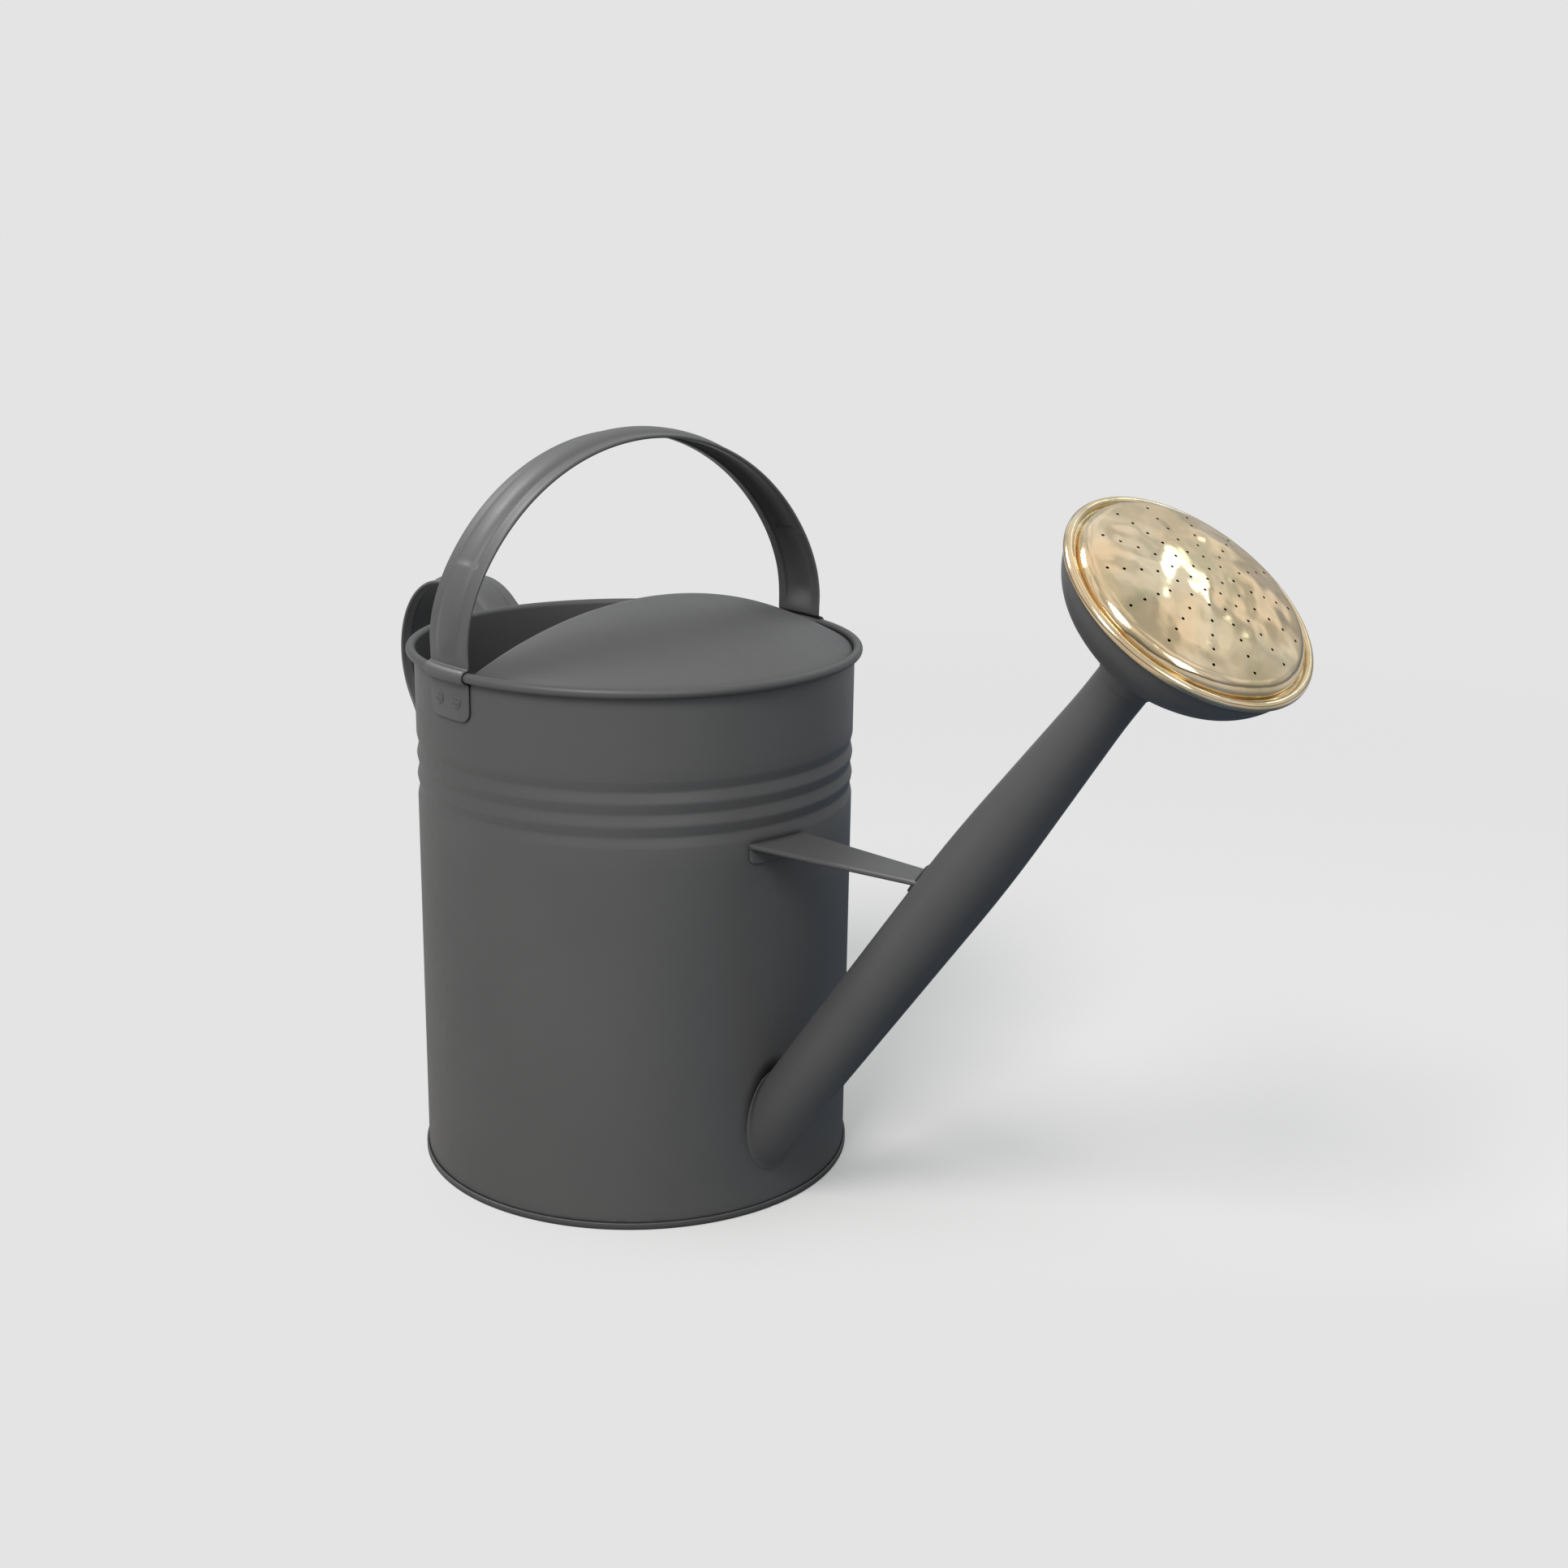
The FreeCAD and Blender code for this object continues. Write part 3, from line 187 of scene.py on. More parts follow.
def grid_faces(rows: int, columns: int, wrap_rows: bool, wrap_columns: bool, first: int = 0) -> Points:
    """Four-sided faces over a grid: each joins a point, its neighbours in row and column, and the one across.

    Args:
        rows: Rows of points.
        columns: Points in a row.
        wrap_rows: Whether the last row joins the first.
        wrap_columns: Whether the last column joins the first.
        first: Number of the grid's first point.

    Returns:
        An array of four point numbers for each face.
    """
    i = np.arange(rows if wrap_rows else rows - 1)[:, None]
    j = np.arange(columns if wrap_columns else columns - 1)[None, :]
    right = (j + 1) % columns
    below = (i + 1) % rows
    corners = [i * columns + j, i * columns + right, below * columns + right, below * columns + j]
    return np.stack(np.broadcast_arrays(*corners), axis=-1).reshape(-1, 4) + first


class Builder:
    """Gathers grids and caps, and turns them into one welded, outward-facing piece."""

    def __init__(self) -> None:
        """Starts with nothing in it."""
        self.points: list[Points] = []
        self.faces: list[list[int]] = []
        self.count = 0

    def add_points(self, points: Points) -> int:
        """Adds loose points.

        Args:
            points: Coordinates in millimetres, three to a row.

        Returns:
            The number of the first one.
        """
        first = self.count
        self.points.append(points.reshape(-1, 3))
        self.count += self.points[-1].shape[0]
        return first

    def grid(self, points: Points, wrap_rows: bool = False, wrap_columns: bool = False) -> int:
        """Adds a surface over a grid of points.

        Args:
            points: Coordinates, shaped rows by columns by three.
            wrap_rows: Whether the last row joins the first.
            wrap_columns: Whether the last column joins the first.

        Returns:
            The number of the grid's first point.
        """
        rows, columns = points.shape[:2]
        first = self.add_points(points)
        self.faces += grid_faces(rows, columns, wrap_rows, wrap_columns, first).tolist()
        return first

    def loops(self, points: Points, caps: bool = True) -> int:
        """Adds a solid bar: closed outlines one after another, with a face over each end.

        Args:
            points: Outlines, shaped stations by outline points by three.
            caps: Whether the ends are closed.

        Returns:
            The number of the first point.
        """
        stations, around = points.shape[:2]
        first = self.grid(points, wrap_columns=True)
        if caps:
            self.faces.append([first + j for j in reversed(range(around))])
            self.faces.append([first + (stations - 1) * around + j for j in range(around)])
        return first

    def piece(self, name: str, weld: float = WELD) -> bpy.types.Object:
        """Makes the object: doubles merged, normals turned outwards, smooth but for real edges.

        Args:
            name: The piece's name.
            weld: Distance under which points are one, in metres.

        Returns:
            The object, at the origin.
        """
        mesh = bpy.data.meshes.new(name)
        mesh.from_pydata((np.vstack(self.points) * MM).tolist(), [], self.faces)
        shape = bmesh.new()
        shape.from_mesh(mesh)
        bmesh.ops.remove_doubles(shape, verts=shape.verts, dist=weld)
        bmesh.ops.dissolve_degenerate(shape, dist=weld / 4, edges=shape.edges)
        bmesh.ops.recalc_face_normals(shape, faces=shape.faces)
        shape.to_mesh(mesh)
        shape.free()
        mesh.shade_smooth()
        mesh.set_sharp_from_angle(angle=SHARP_ANGLE)
        thing = bpy.data.objects.new(name, mesh)
        bpy.context.scene.collection.objects.link(thing)
        return thing


def turned(section: Points, steps: int) -> Points:
    """Section turned about the vertical axis: (radius cos a, radius sin a, height) for even a.

    Args:
        section: Radius and height of each point.
        steps: How many positions round the axis.

    Returns:
        Points shaped steps by section points by three.
    """
    angle = np.linspace(0, 2 * math.pi, steps, endpoint=False)[:, None]
    radius, height = section[None, :, 0], section[None, :, 1]
    return np.stack([radius * np.cos(angle), radius * np.sin(angle), height + 0 * angle], axis=-1)


def thicken(thing: bpy.types.Object, thickness: float) -> bpy.types.Object:
    """Gives a surface a wall, half of it to each side, and keeps the result as its mesh.

    Args:
        thing: The surface.
        thickness: The wall in millimetres.

    Returns:
        The same object.
    """
    modifier = thing.modifiers.new("wall", "SOLIDIFY")
    modifier.thickness = thickness * MM
    modifier.offset = 0.0
    modifier.use_even_offset = True
    bpy.context.view_layer.update()
    depsgraph = bpy.context.evaluated_depsgraph_get()
    solid = bpy.data.meshes.new_from_object(thing.evaluated_get(depsgraph))
    thing.modifiers.clear()
    thing.data = solid
    solid.shade_smooth()
    solid.set_sharp_from_angle(angle=SHARP_ANGLE)
    return thing


# ---------------------------------------------------------------------------------------------
# Shader arithmetic and finishes
# ---------------------------------------------------------------------------------------------


class Wire:
    """A value in a node tree, so that sums of values read as plain arithmetic."""

    def __init__(self, tree: bpy.types.NodeTree, source: bpy.types.NodeSocket) -> None:
        """Wraps one output socket.

        Args:
            tree: The tree it belongs to.
            source: The socket.
        """
        self.tree = tree
        self.source = source

    def math(self, operation: str, *values: "Wire | float", clamp: bool = False) -> "Wire":
        """Adds a Math node.

        Args:
            operation: The node's operation.
            values: Its inputs, each a wire or a number.
            clamp: Whether the result stays from 0 to 1.

        Returns:
            The node's result.
        """
        node = self.tree.nodes.new("ShaderNodeMath")
        node.operation = operation
        node.use_clamp = clamp
        for socket, value in zip(node.inputs, values):
            if isinstance(value, Wire):
                self.tree.links.new(value.source, socket)
            else:
                socket.default_value = value
        return Wire(self.tree, node.outputs[0])

    def __add__(self, other: "Wire | float") -> "Wire":
        """Sum."""
        return self.math("ADD", self, other)

    def __radd__(self, other: float) -> "Wire":
        """Sum, with the number first."""
        return self.math("ADD", other, self)

    def __sub__(self, other: "Wire | float") -> "Wire":
        """Difference."""
        return self.math("SUBTRACT", self, other)

    def __rsub__(self, other: float) -> "Wire":
        """Difference, with the number first."""
        return self.math("SUBTRACT", other, self)

    def __mul__(self, other: "Wire | float") -> "Wire":
        """Product."""
        return self.math("MULTIPLY", self, other)

    def __rmul__(self, other: float) -> "Wire":
        """Product, with the number first."""
        return self.math("MULTIPLY", other, self)

    def step(self, low: float, high: float) -> "Wire":
        """Share of the way from low to high, kept from 0 to 1."""
        return self.math("MULTIPLY", self - low, 1 / (high - low), clamp=True)


class Tree:
    """Builds one material's nodes."""

    def __init__(self, name: str, nodes: bpy.types.NodeTree | None = None) -> None:
        """Starts a material, or clears the tree given.

        Args:
            name: The material's name.
            nodes: A tree to build in, where it isn't a new material's.
        """
        self.material = None if nodes else bpy.data.materials.new(name)
        if self.material:
            self.material.use_nodes = True
        self.nodes = nodes or self.material.node_tree
        self.nodes.nodes.clear()

    def node(self, kind: str, settings: dict | None = None, **inputs: object) -> bpy.types.Node:
        """Adds any node: its settings first, then its inputs by name, with _ for a space.

        Args:
            kind: The node's type.
            settings: Attributes set on the node.
            inputs: A wire to link, or a value to set, for each input.

        Returns:
            The node.
        """
        made = self.nodes.nodes.new(kind)
        for key, value in (settings or {}).items():
            setattr(made, key, value)
        for key, value in inputs.items():
            socket = self.socket(made, key.replace("_", " "))
            if isinstance(value, Wire):
                self.nodes.links.new(value.source, socket)
            else:
                socket.default_value = value
        return made

    @staticmethod
    def socket(node: bpy.types.Node, name: str) -> bpy.types.NodeSocket:
        """First live input of that name."""
        return next(s for s in node.inputs if s.name == name and s.enabled)

    def out(self, node: bpy.types.Node, name: str) -> Wire:
        """A node's live output of that name as a wire."""
        return Wire(self.nodes, next(s for s in node.outputs if s.name == name and s.enabled))

    def place(self) -> Wire:
        """Position on the object."""
        return self.out(self.node("ShaderNodeTexCoord"), "Object")

    def toward(self, place: Wire, way: tuple) -> Wire:
        """How far a place lies toward a direction."""
        node = self.node("ShaderNodeVectorMath", {"operation": "DOT_PRODUCT"}, Vector=place)
        node.inputs[1].default_value = way
        return self.out(node, "Value")

    def noise(self, place: Wire, scale: float, detail: float = 2.0, roughness: float = 0.5) -> Wire:
        """Cloudy pattern from 0 to 1.

        Args:
            place: Where it is read.
            scale: Clouds to a metre.
            detail: Finer layers.
            roughness: How strong they are.

        Returns:
            The pattern.
        """
        made = self.node(
            "ShaderNodeTexNoise", Vector=place, Scale=scale, Detail=detail, Roughness=roughness
        )
        return Wire(self.nodes, made.outputs[0])

    def blend(self, share: "Wire | float", first: "Wire | tuple", second: "Wire | tuple") -> Wire:
        """Colour between two colours.

        Args:
            share: How much of the second.
            first: The first colour.
            second: The second colour.

        Returns:
            The mixed colour.
        """
        made = self.node("ShaderNodeMix", {"data_type": "RGBA"}, Factor=share, A=first, B=second)
        return self.out(made, "Result")

    def proud_edges(self, low: float, high: float) -> Wire:
        """Where an edge stands proud: the surface's pointedness between low and high. It is the mask of a
        painted highlight along edges.
        """
        point = self.out(self.node("ShaderNodeNewGeometry"), "Pointiness")
        return point.step(low, high)

    def crevice(self, reach: float) -> Wire:
        """How open the surface is, by ambient occlusion: 0 inside a crevice, 1 in the open, looking as far as
        the reach. It is the mask of painted shade.
        """
        node = self.node("ShaderNodeAmbientOcclusion", {"samples": 8}, Distance=reach)
        return self.out(node, "AO")

    def bump(self, height: Wire, strength: float, distance: float, under: Wire | None = None) -> Wire:
        """Bumped normal.

        Args:
            height: The height pattern.
            strength: Share of it that shows.
            distance: Height of a full step, in metres.
            under: A normal that this one rides on.

        Returns:
            The normal.
        """
        inputs = {"Height": height, "Strength": strength, "Distance": distance}
        if under is not None:
            inputs["Normal"] = under
        return self.out(self.node("ShaderNodeBump", **inputs), "Normal")

    def finish(self, **inputs: object) -> bpy.types.Material:
        """Ends the tree in a principled surface.

        Args:
            inputs: The surface's inputs.

        Returns:
            The material.
        """
        surface = self.node("ShaderNodeBsdfPrincipled", **inputs)
        self.node("ShaderNodeOutputMaterial", Surface=Wire(self.nodes, surface.outputs[0]))
        return self.material


def colour(red: float, green: float, blue: float) -> tuple[float, float, float, float]:
    """Linear colour with full alpha."""
    return (red, green, blue, 1.0)


@dataclass(frozen=True)
class AnthracitePaint:
    """Satin powder paint on steel: faint mottling and a fine stipple, with proud edges lightened as a painted
    highlight and crevices darkened as painted shade.
    """

    base: tuple = colour(0.077, 0.077, 0.078)
    shade: tuple = colour(0.070, 0.070, 0.071)
    # Colour of the painted highlight along proud edges.
    painted_edge_highlight: tuple = colour(0.150, 0.150, 0.152)
    # Colour of the painted shade in crevices, where ambient occlusion finds the surface closed in.
    painted_crevice_shade: tuple = colour(0.008, 0.008, 0.009)
    reach: float = 0.006
    roughness: float = 0.46

    def make(self) -> bpy.types.Material:
        """Builds the material."""
        tree = Tree("anthracite_paint")
        place = tree.place()
        cloud = tree.noise(place, 14.0, 3.0)
        mottle = tree.noise(place, 160.0, 2.0)
        stipple = tree.noise(place, 1400.0, 1.0)
        # Painted highlight: proud edges, broken up by the mottle, are lightened in the base colour.
        edge = tree.proud_edges(0.53, 0.60) * mottle.step(0.35, 0.6)
        body = tree.blend(cloud.step(0.3, 0.7), self.base, self.shade)
        body = tree.blend(edge * 0.55, body, self.painted_edge_highlight)
        # Painted shade: the colour darkens towards the crevice shade where ambient occlusion finds the
        # surface closed in.
        body = tree.blend(tree.crevice(self.reach).step(0.35, 0.95), self.painted_crevice_shade, body)
        rough = self.roughness + (cloud - 0.5) * 0.10 + (mottle - 0.5) * 0.08 - edge * 0.08
        broad = tree.bump(cloud, 0.10, 0.0006)
        skin = tree.bump(stipple, 0.18, 0.00004, broad)
        return tree.finish(
            Base_Color=body, Roughness=rough, Normal=skin, Specular_IOR_Level=0.5, IOR=1.5
        )


@dataclass(frozen=True)
class PolishedBrass:
    """Thin polished brass: shallow dents from spinning and punching, with a light greenish cast in places."""

    base: tuple = colour(0.80, 0.60, 0.37)
    pale: tuple = colour(0.92, 0.80, 0.60)
    olive: tuple = colour(0.60, 0.50, 0.31)
    roughness: float = 0.10

    def make(self) -> bpy.types.Material:
        """Builds the material."""
        tree = Tree("polished_brass")
        place = tree.place()
        broad = tree.noise(place, 26.0, 2.0, 0.45)
        dents = tree.noise(place, 70.0, 2.0, 0.4)
        patina = tree.noise(place, 38.0, 4.0, 0.6)
        grain = tree.noise(place, 900.0, 2.0)
        tint = tree.blend(patina.step(0.42, 0.66), self.base, self.olive)
        tint = tree.blend(broad.step(0.48, 0.66) * 0.6, tint, self.pale)
        rough = self.roughness + patina.step(0.45, 0.75) * 0.10 + (grain - 0.5) * 0.04
        waves = tree.bump(broad, 0.7, 0.0030)
        marks = tree.bump(dents, 0.5, 0.0010, waves)
        return tree.finish(Base_Color=tint, Metallic=1.0, Roughness=rough, Normal=marks)


@dataclass(frozen=True)
class WireSteel:
    """Bright drawn wire, with fine scratches and a few dull spots."""

    base: tuple = colour(0.50, 0.50, 0.51)
    dull: tuple = colour(0.27, 0.26, 0.25)

    def make(self) -> bpy.types.Material:
        """Builds the material."""
        tree = Tree("wire_steel")
        place = tree.place()
        spots = tree.noise(place, 220.0, 3.0)
        fine = tree.noise(place, 1600.0, 1.0)
        tint = tree.blend(spots.step(0.45, 0.7), self.base, self.dull)
        rough = 0.30 + spots.step(0.4, 0.7) * 0.25
        return tree.finish(
            Base_Color=tint, Metallic=1.0, Roughness=rough, Normal=tree.bump(fine, 0.3, 0.00004)
        )


@dataclass(frozen=True)
class SealRubber:
    """Black moulded rubber with a fine matt grain."""

    base: tuple = colour(0.018, 0.018, 0.018)
    bloom: tuple = colour(0.045, 0.045, 0.046)

    def make(self) -> bpy.types.Material:
        """Builds the material."""
        tree = Tree("seal_rubber")
        place = tree.place()
        bloom = tree.noise(place, 300.0, 3.0)
        grain = tree.noise(place, 2200.0, 1.0)
        tint = tree.blend(bloom.step(0.4, 0.75), self.base, self.bloom)
        return tree.finish(
            Base_Color=tint,
            Roughness=0.72 + (bloom - 0.5) * 0.2,
            Normal=tree.bump(grain, 0.4, 0.00005),
        )


class Slot(Enum):
    """The record's material slots."""

    PAINT = "painted_steel"
    WIRE = "wire_steel"
    RUBBER = "seal_rubber"
    BRASS = "polished_brass"


@dataclass
class Workshop:
    """Holds the finishes and puts each finished piece on its body."""

    finishes: dict = field(default_factory=dict)

    def open(self) -> None:
        """Makes one material for each slot."""
        makers = {
            Slot.PAINT: AnthracitePaint(),
            Slot.WIRE: WireSteel(),
            Slot.RUBBER: SealRubber(),
            Slot.BRASS: PolishedBrass(),
        }
        self.finishes = {slot: maker.make() for slot, maker in makers.items()}

    def fit(self, piece: bpy.types.Object, body: str, slot: Slot, *nodes: str) -> bpy.types.Object:
        """Finishes a new piece: gives it its slot's material, puts it on its body and hides the frame nodes
        that it stands for.

        Args:
            piece: The piece.
            body: The body it rides on.
            slot: Its finish.
            nodes: The nodes that it stands for.

        Returns:
            The piece.
        """
        piece.data.materials.clear()
        piece.data.materials.append(self.finishes[slot])
        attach(piece, body)
        if nodes:
            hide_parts(*nodes)
        LOG.info("%s: %d faces on %s", piece.name, len(piece.data.polygons), body)
        return piece

    def coat(self, node: str, slot: Slot) -> None:
        """Puts a finish on a frame node that keeps its own mesh.

        Args:
            node: The node's name.
            slot: Its finish.
        """
        thing = frame["nodes"][node]
        for place in thing.material_slots:
            place.material = self.finishes[slot]
        if not thing.material_slots:
            thing.data.materials.append(self.finishes[slot])
        LOG.info("%s: kept from the frame", node)


# ---------------------------------------------------------------------------------------------
# Places read from the frame
# ---------------------------------------------------------------------------------------------


@dataclass
class Layout:
    """The main sizes and the spout's axis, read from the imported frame, in millimetres."""

    wall: float = 0.0
    rim: float = 0.0
    root: Points = field(default_factory=lambda: np.zeros(3))
    along: Points = field(default_factory=lambda: np.zeros(3))
    down: Points = field(default_factory=lambda: np.zeros(3))

    def read(self) -> "Layout":
        """Reads the wall's radius off the hem, the rim off its wire and the axis off the rose's joint."""
        low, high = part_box("rim_wire")
        self.rim = (low.z + high.z) / 2 / MM
        base_low, base_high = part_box("base_pan")
        self.wall = round((base_high.y - base_low.y) / 2 / MM, 1) - 1.3
        joint = next(j for j in frame["joints"] if j["name"] == "rose_turn")
        self.root = np.array(joint["pos_m"], float) / MM
        self.along = np.array(joint["axis"], float)
        self.along /= np.linalg.norm(self.along)
        self.down = np.array([self.along[2], 0.0, -self.along[0]])
        return self

    def on_spout(self, across: Points, side: Points, along: Points) -> Points:
        """Point from spout coordinates: root plus each coordinate times its direction.

        Args:
            across: Distance from the axis, away from the can and down.
            side: Distance to the side.
            along: Distance along the axis from the wall.

        Returns:
            Points in the row frame.
        """
        across, side, along = np.broadcast_arrays(across, side, along)
        sideways = np.array([0.0, 1.0, 0.0])
        return (
            self.root
            + across[..., None] * self.down
            + side[..., None] * sideways
            + along[..., None] * self.along
        )

    def along_at_wall(self, radius: Points, shell: Points, angle: Points) -> Points:
        """Distance along the spout where a tube of that radius meets a cylinder about the can's axis.

        The point's two distances from the can's axis square and add up to the shell's radius squared.

        Args:
            radius: The tube's radius.
            shell: The cylinder's radius.
            angle: Position round the tube.

        Returns:
            The distance along the spout's axis.
        """
        side = radius * np.sin(angle)
        reach = np.sqrt(shell * shell - side * side) - self.root[0]
        return (reach - self.down[0] * radius * np.cos(angle)) / self.along[0]


# ---------------------------------------------------------------------------------------------
# The can
# ---------------------------------------------------------------------------------------------


@dataclass
class Can:
    """Drawn steel wall with three beads and a rolled rim, its base pan, and the half cover."""

    layout: Layout
    shop: Workshop
    sheet: float = 0.8
    foot: float = 1.4
    beads: int = 3
    bead_pitch: float = 10.9
    bead_drop: float = 41.8
    bead_depth: float = 1.1
    roll: float = 2.4
    bore: float = 15.2
    ease: float = 46.0
    crisp: float = 0.985
    seam_half: float = 1.4
    seam_rise: float = 0.06
    nick_depth: float = 0.55
    nick_width: float = 1.1
    columns: int = 216

    def wall_line(self) -> tuple[Points, Points]:
        """Middle line of the wall's sheet, with its rows close together where the spout's hole is.

        The beads are a zigzag inwards with eased corners, and the rim is an arc of 300 degrees outwards
        over the top.

        Returns:
            The line as radius and height, and the hole's middle height and half height.
        """
        at = self.layout.wall - self.sheet / 2
        curl = self.roll - self.sheet / 2
        low, high = (
            self.layout.root[2]
            + self.layout.along[2] * self.layout.along_at_wall(self.bore, at, np.array(a))
            + self.layout.down[2] * self.bore * math.cos(a)
            for a in (0.0, math.pi)
        )
        middle, half = (low + high) / 2, (high - low) / 2
        top = self.layout.rim - self.bead_drop
        beads = np.linspace(0, self.beads, self.beads * 16 + 1)
        swing = np.arccos(self.crisp * np.cos(2 * math.pi * beads)) - math.acos(self.crisp)
        wave = at - self.bead_depth * swing / (math.pi - 2 * math.acos(self.crisp))
        hole = middle - half * np.cos(np.linspace(0, math.pi, 30))
        start = top - self.beads * self.bead_pitch
        parts = join(
            line((at, self.foot), (at, low), 5),
            np.column_stack([np.full(30, at), hole]),
            line((at, high), (at, start), 12),
            np.column_stack([wave, start + beads * self.bead_pitch]),
            line((at, top), (at, self.layout.rim), 7),
            arc((at + curl, self.layout.rim), curl, 180, -120, 26),
        )
        return parts, np.array([middle, half])

    def wall(self) -> bpy.types.Object:
        """Wall as a grid: the middle line turned about the axis from a slit at the spout, then thickened.

        Across the slit the columns are pushed aside by the hole's half width, a half ellipse in height,
        less and less with distance. The welded side seam is a low ridge along the slit.
        """
        section, hole = self.wall_line()
        at = self.layout.wall - self.sheet / 2
        near = np.array([0.0, 0.7, 1.4, 2.4, 4.0, 6.5]) / at
        even = np.linspace(near[-1], 2 * math.pi - near[-1], self.columns)
        angle = np.concatenate([near[:-1], even, 2 * math.pi - near[:-1][::-1]])
        across = np.where(angle > math.pi, angle - 2 * math.pi, angle) * at
        side = np.where(np.arange(len(angle)) * 2 < len(angle), 1.0, -1.0)
        height = section[:, 1]
        inside = np.clip(1 - ((height - hole[0]) / hole[1]) ** 2, 0, 1)
        opening = self.bore * np.sqrt(inside)[None, :]
        fade = np.clip(1 - np.abs(across) / self.ease, 0, 1)[:, None]
        moved = across[:, None] + side[:, None] * opening * fade
        ridge = self.seam_rise * (1 - soft_step(np.abs(moved), 0.4, self.seam_half))
        ridge = ridge * (1 - soft_step(height, self.layout.rim - 10, self.layout.rim - 3))[None, :]
        radius = section[None, :, 0] + ridge
        turn = moved / at
        points = np.stack(
            [radius * np.cos(turn), radius * np.sin(turn), height[None, :] + 0 * turn], axis=-1
        )
        builder = Builder()
        builder.grid(points)
        return thicken(builder.piece("body_wall"), self.sheet)

    def base(self) -> bpy.types.Object:
        """Base pan: floor, skirt and hem as one outline turned about the axis, nicked at the side seam.

        The hem's radius dips by half a millimetre over two millimetres at the seam.
        """
        outer, seam = self.layout.wall + 1.3, self.layout.wall + 0.3
        skirt, inner = self.layout.wall - 0.9, self.layout.wall - 1.9
        bend, hem, skin = 0.9, 3.6, 1.0
        under, floor, middle = 6.0, 7.0, 60
        outline = join(
            line((0, under), (middle, under), 4),
            line((middle, under), (inner - 2.0, under), 4),
            fillet((middle, under), (inner, under), (inner, 0), 1.6, 5),
            arc((inner + bend, bend), bend, 180, 270, 6),
            arc((outer - bend, bend), bend, 270, 360, 6),
            line((outer, bend), (outer, hem - 0.4), 2),
            arc((outer - 0.4, hem - 0.4), 0.4, 0, 90, 4),
            arc((seam + 0.1, hem - 0.1), 0.1, 90, 180, 2),
            line((seam, hem - 0.1), (seam, skin + 0.1), 2),
            line((skirt, skin + 0.1), (skirt, under), 2),
            fillet((skirt, under - 1.0), (skirt, floor), (middle, floor), 2.2, 5),
            line((middle, floor), (0, floor), 4),
        )
        steps = 288
        points = turned(outline, steps)
        angle = np.arctan2(points[..., 1], points[..., 0])
        radius = np.hypot(points[..., 0], points[..., 1])
        from_seam = angle * self.layout.wall / self.nick_width
        nick = self.nick_depth * np.exp(-(from_seam**2)) * (radius > seam + 0.5)
        scale = np.where(radius > 1, (radius - nick) / np.maximum(radius, 1), 1.0)
        points[..., :2] *= scale[..., None]
        builder = Builder()
        builder.grid(points, wrap_rows=True)
        return builder.piece("base_pan_pressed")

    def cover(self) -> bpy.types.Object:
        """Half cover: part of a ball from a folded straight edge to the rim, then down inside the wall.

        Rows run away from the straight edge. Height is the ball's: the root of its radius squared less
        the distance from the axis squared.
        """
        edge = self.layout.wall - 1.1 - 0.4
        height = self.layout.rim - 0.7
        rise, start, fold = 27.3, 14.8, 0.62
        ball = (edge * edge + rise * rise) / (2 * rise)
        width = math.sqrt(edge * edge - start * start)
        share = np.sin(np.linspace(-math.pi / 2, math.pi / 2, 97))
        side = width * share
        reach = np.sqrt(edge * edge - side * side)
        run = 1 - (1 - np.linspace(0, 1, 44)) ** 1.35
        across = start + (reach - start)[:, None] * run[None, :]
        away = np.hypot(across, side[:, None])
        up = height + np.sqrt(ball * ball - away * away) - math.sqrt(ball * ball - edge * edge)
        top = np.stack([across, side[:, None] + 0 * across, up], axis=-1)
        drop = np.array([0.35, 1.1, 2.2, 5.0, 8.0])
        tuck = np.array([0.02, 0.10, 0.18, 0.2, 0.2])
        last = top[:, -1:, :]
        outward = last[..., :2] / np.linalg.norm(last[..., :2], axis=-1, keepdims=True)
        flange = np.repeat(last, len(drop), axis=1)
        flange[..., :2] += outward * tuck[None, :, None]
        flange[..., 2] -= drop[None, :]
        turn = np.radians(np.linspace(180, 0, 7)[:-1])[::-1]
        first = top[:, :1, :]
        curl = np.repeat(first, len(turn) + 2, axis=1)
        bend = np.concatenate([[0.0, 0.0], fold * np.sin(turn)])
        lower = np.concatenate([[2 * fold, 2 * fold], fold * (1 - np.cos(turn[::-1]))[::-1]])
        inset = np.concatenate([[5.0, 1.0], np.zeros(len(turn))])
        room = np.clip((reach - start)[:, None] / 8.0, 0, 1)
        curl[..., 0] += (inset[None, :] - bend[None, :]) * room
        curl[..., 2] -= lower[None, :]
        builder = Builder()
        builder.grid(np.concatenate([curl, top, flange], axis=1))
        return thicken(builder.piece("half_cover_pressed", 0.05 * MM), 0.8)

    def build(self) -> None:
        """Makes and dresses the wall, the base and the cover."""
        self.shop.fit(self.wall(), "can", Slot.PAINT, "body_shell")
        self.shop.fit(self.base(), "can", Slot.PAINT, "base_pan")
        self.shop.fit(self.cover(), "can", Slot.PAINT, "half_cover")
        self.shop.coat("rim_wire", Slot.WIRE)


# ---------------------------------------------------------------------------------------------
# Handles
# ---------------------------------------------------------------------------------------------


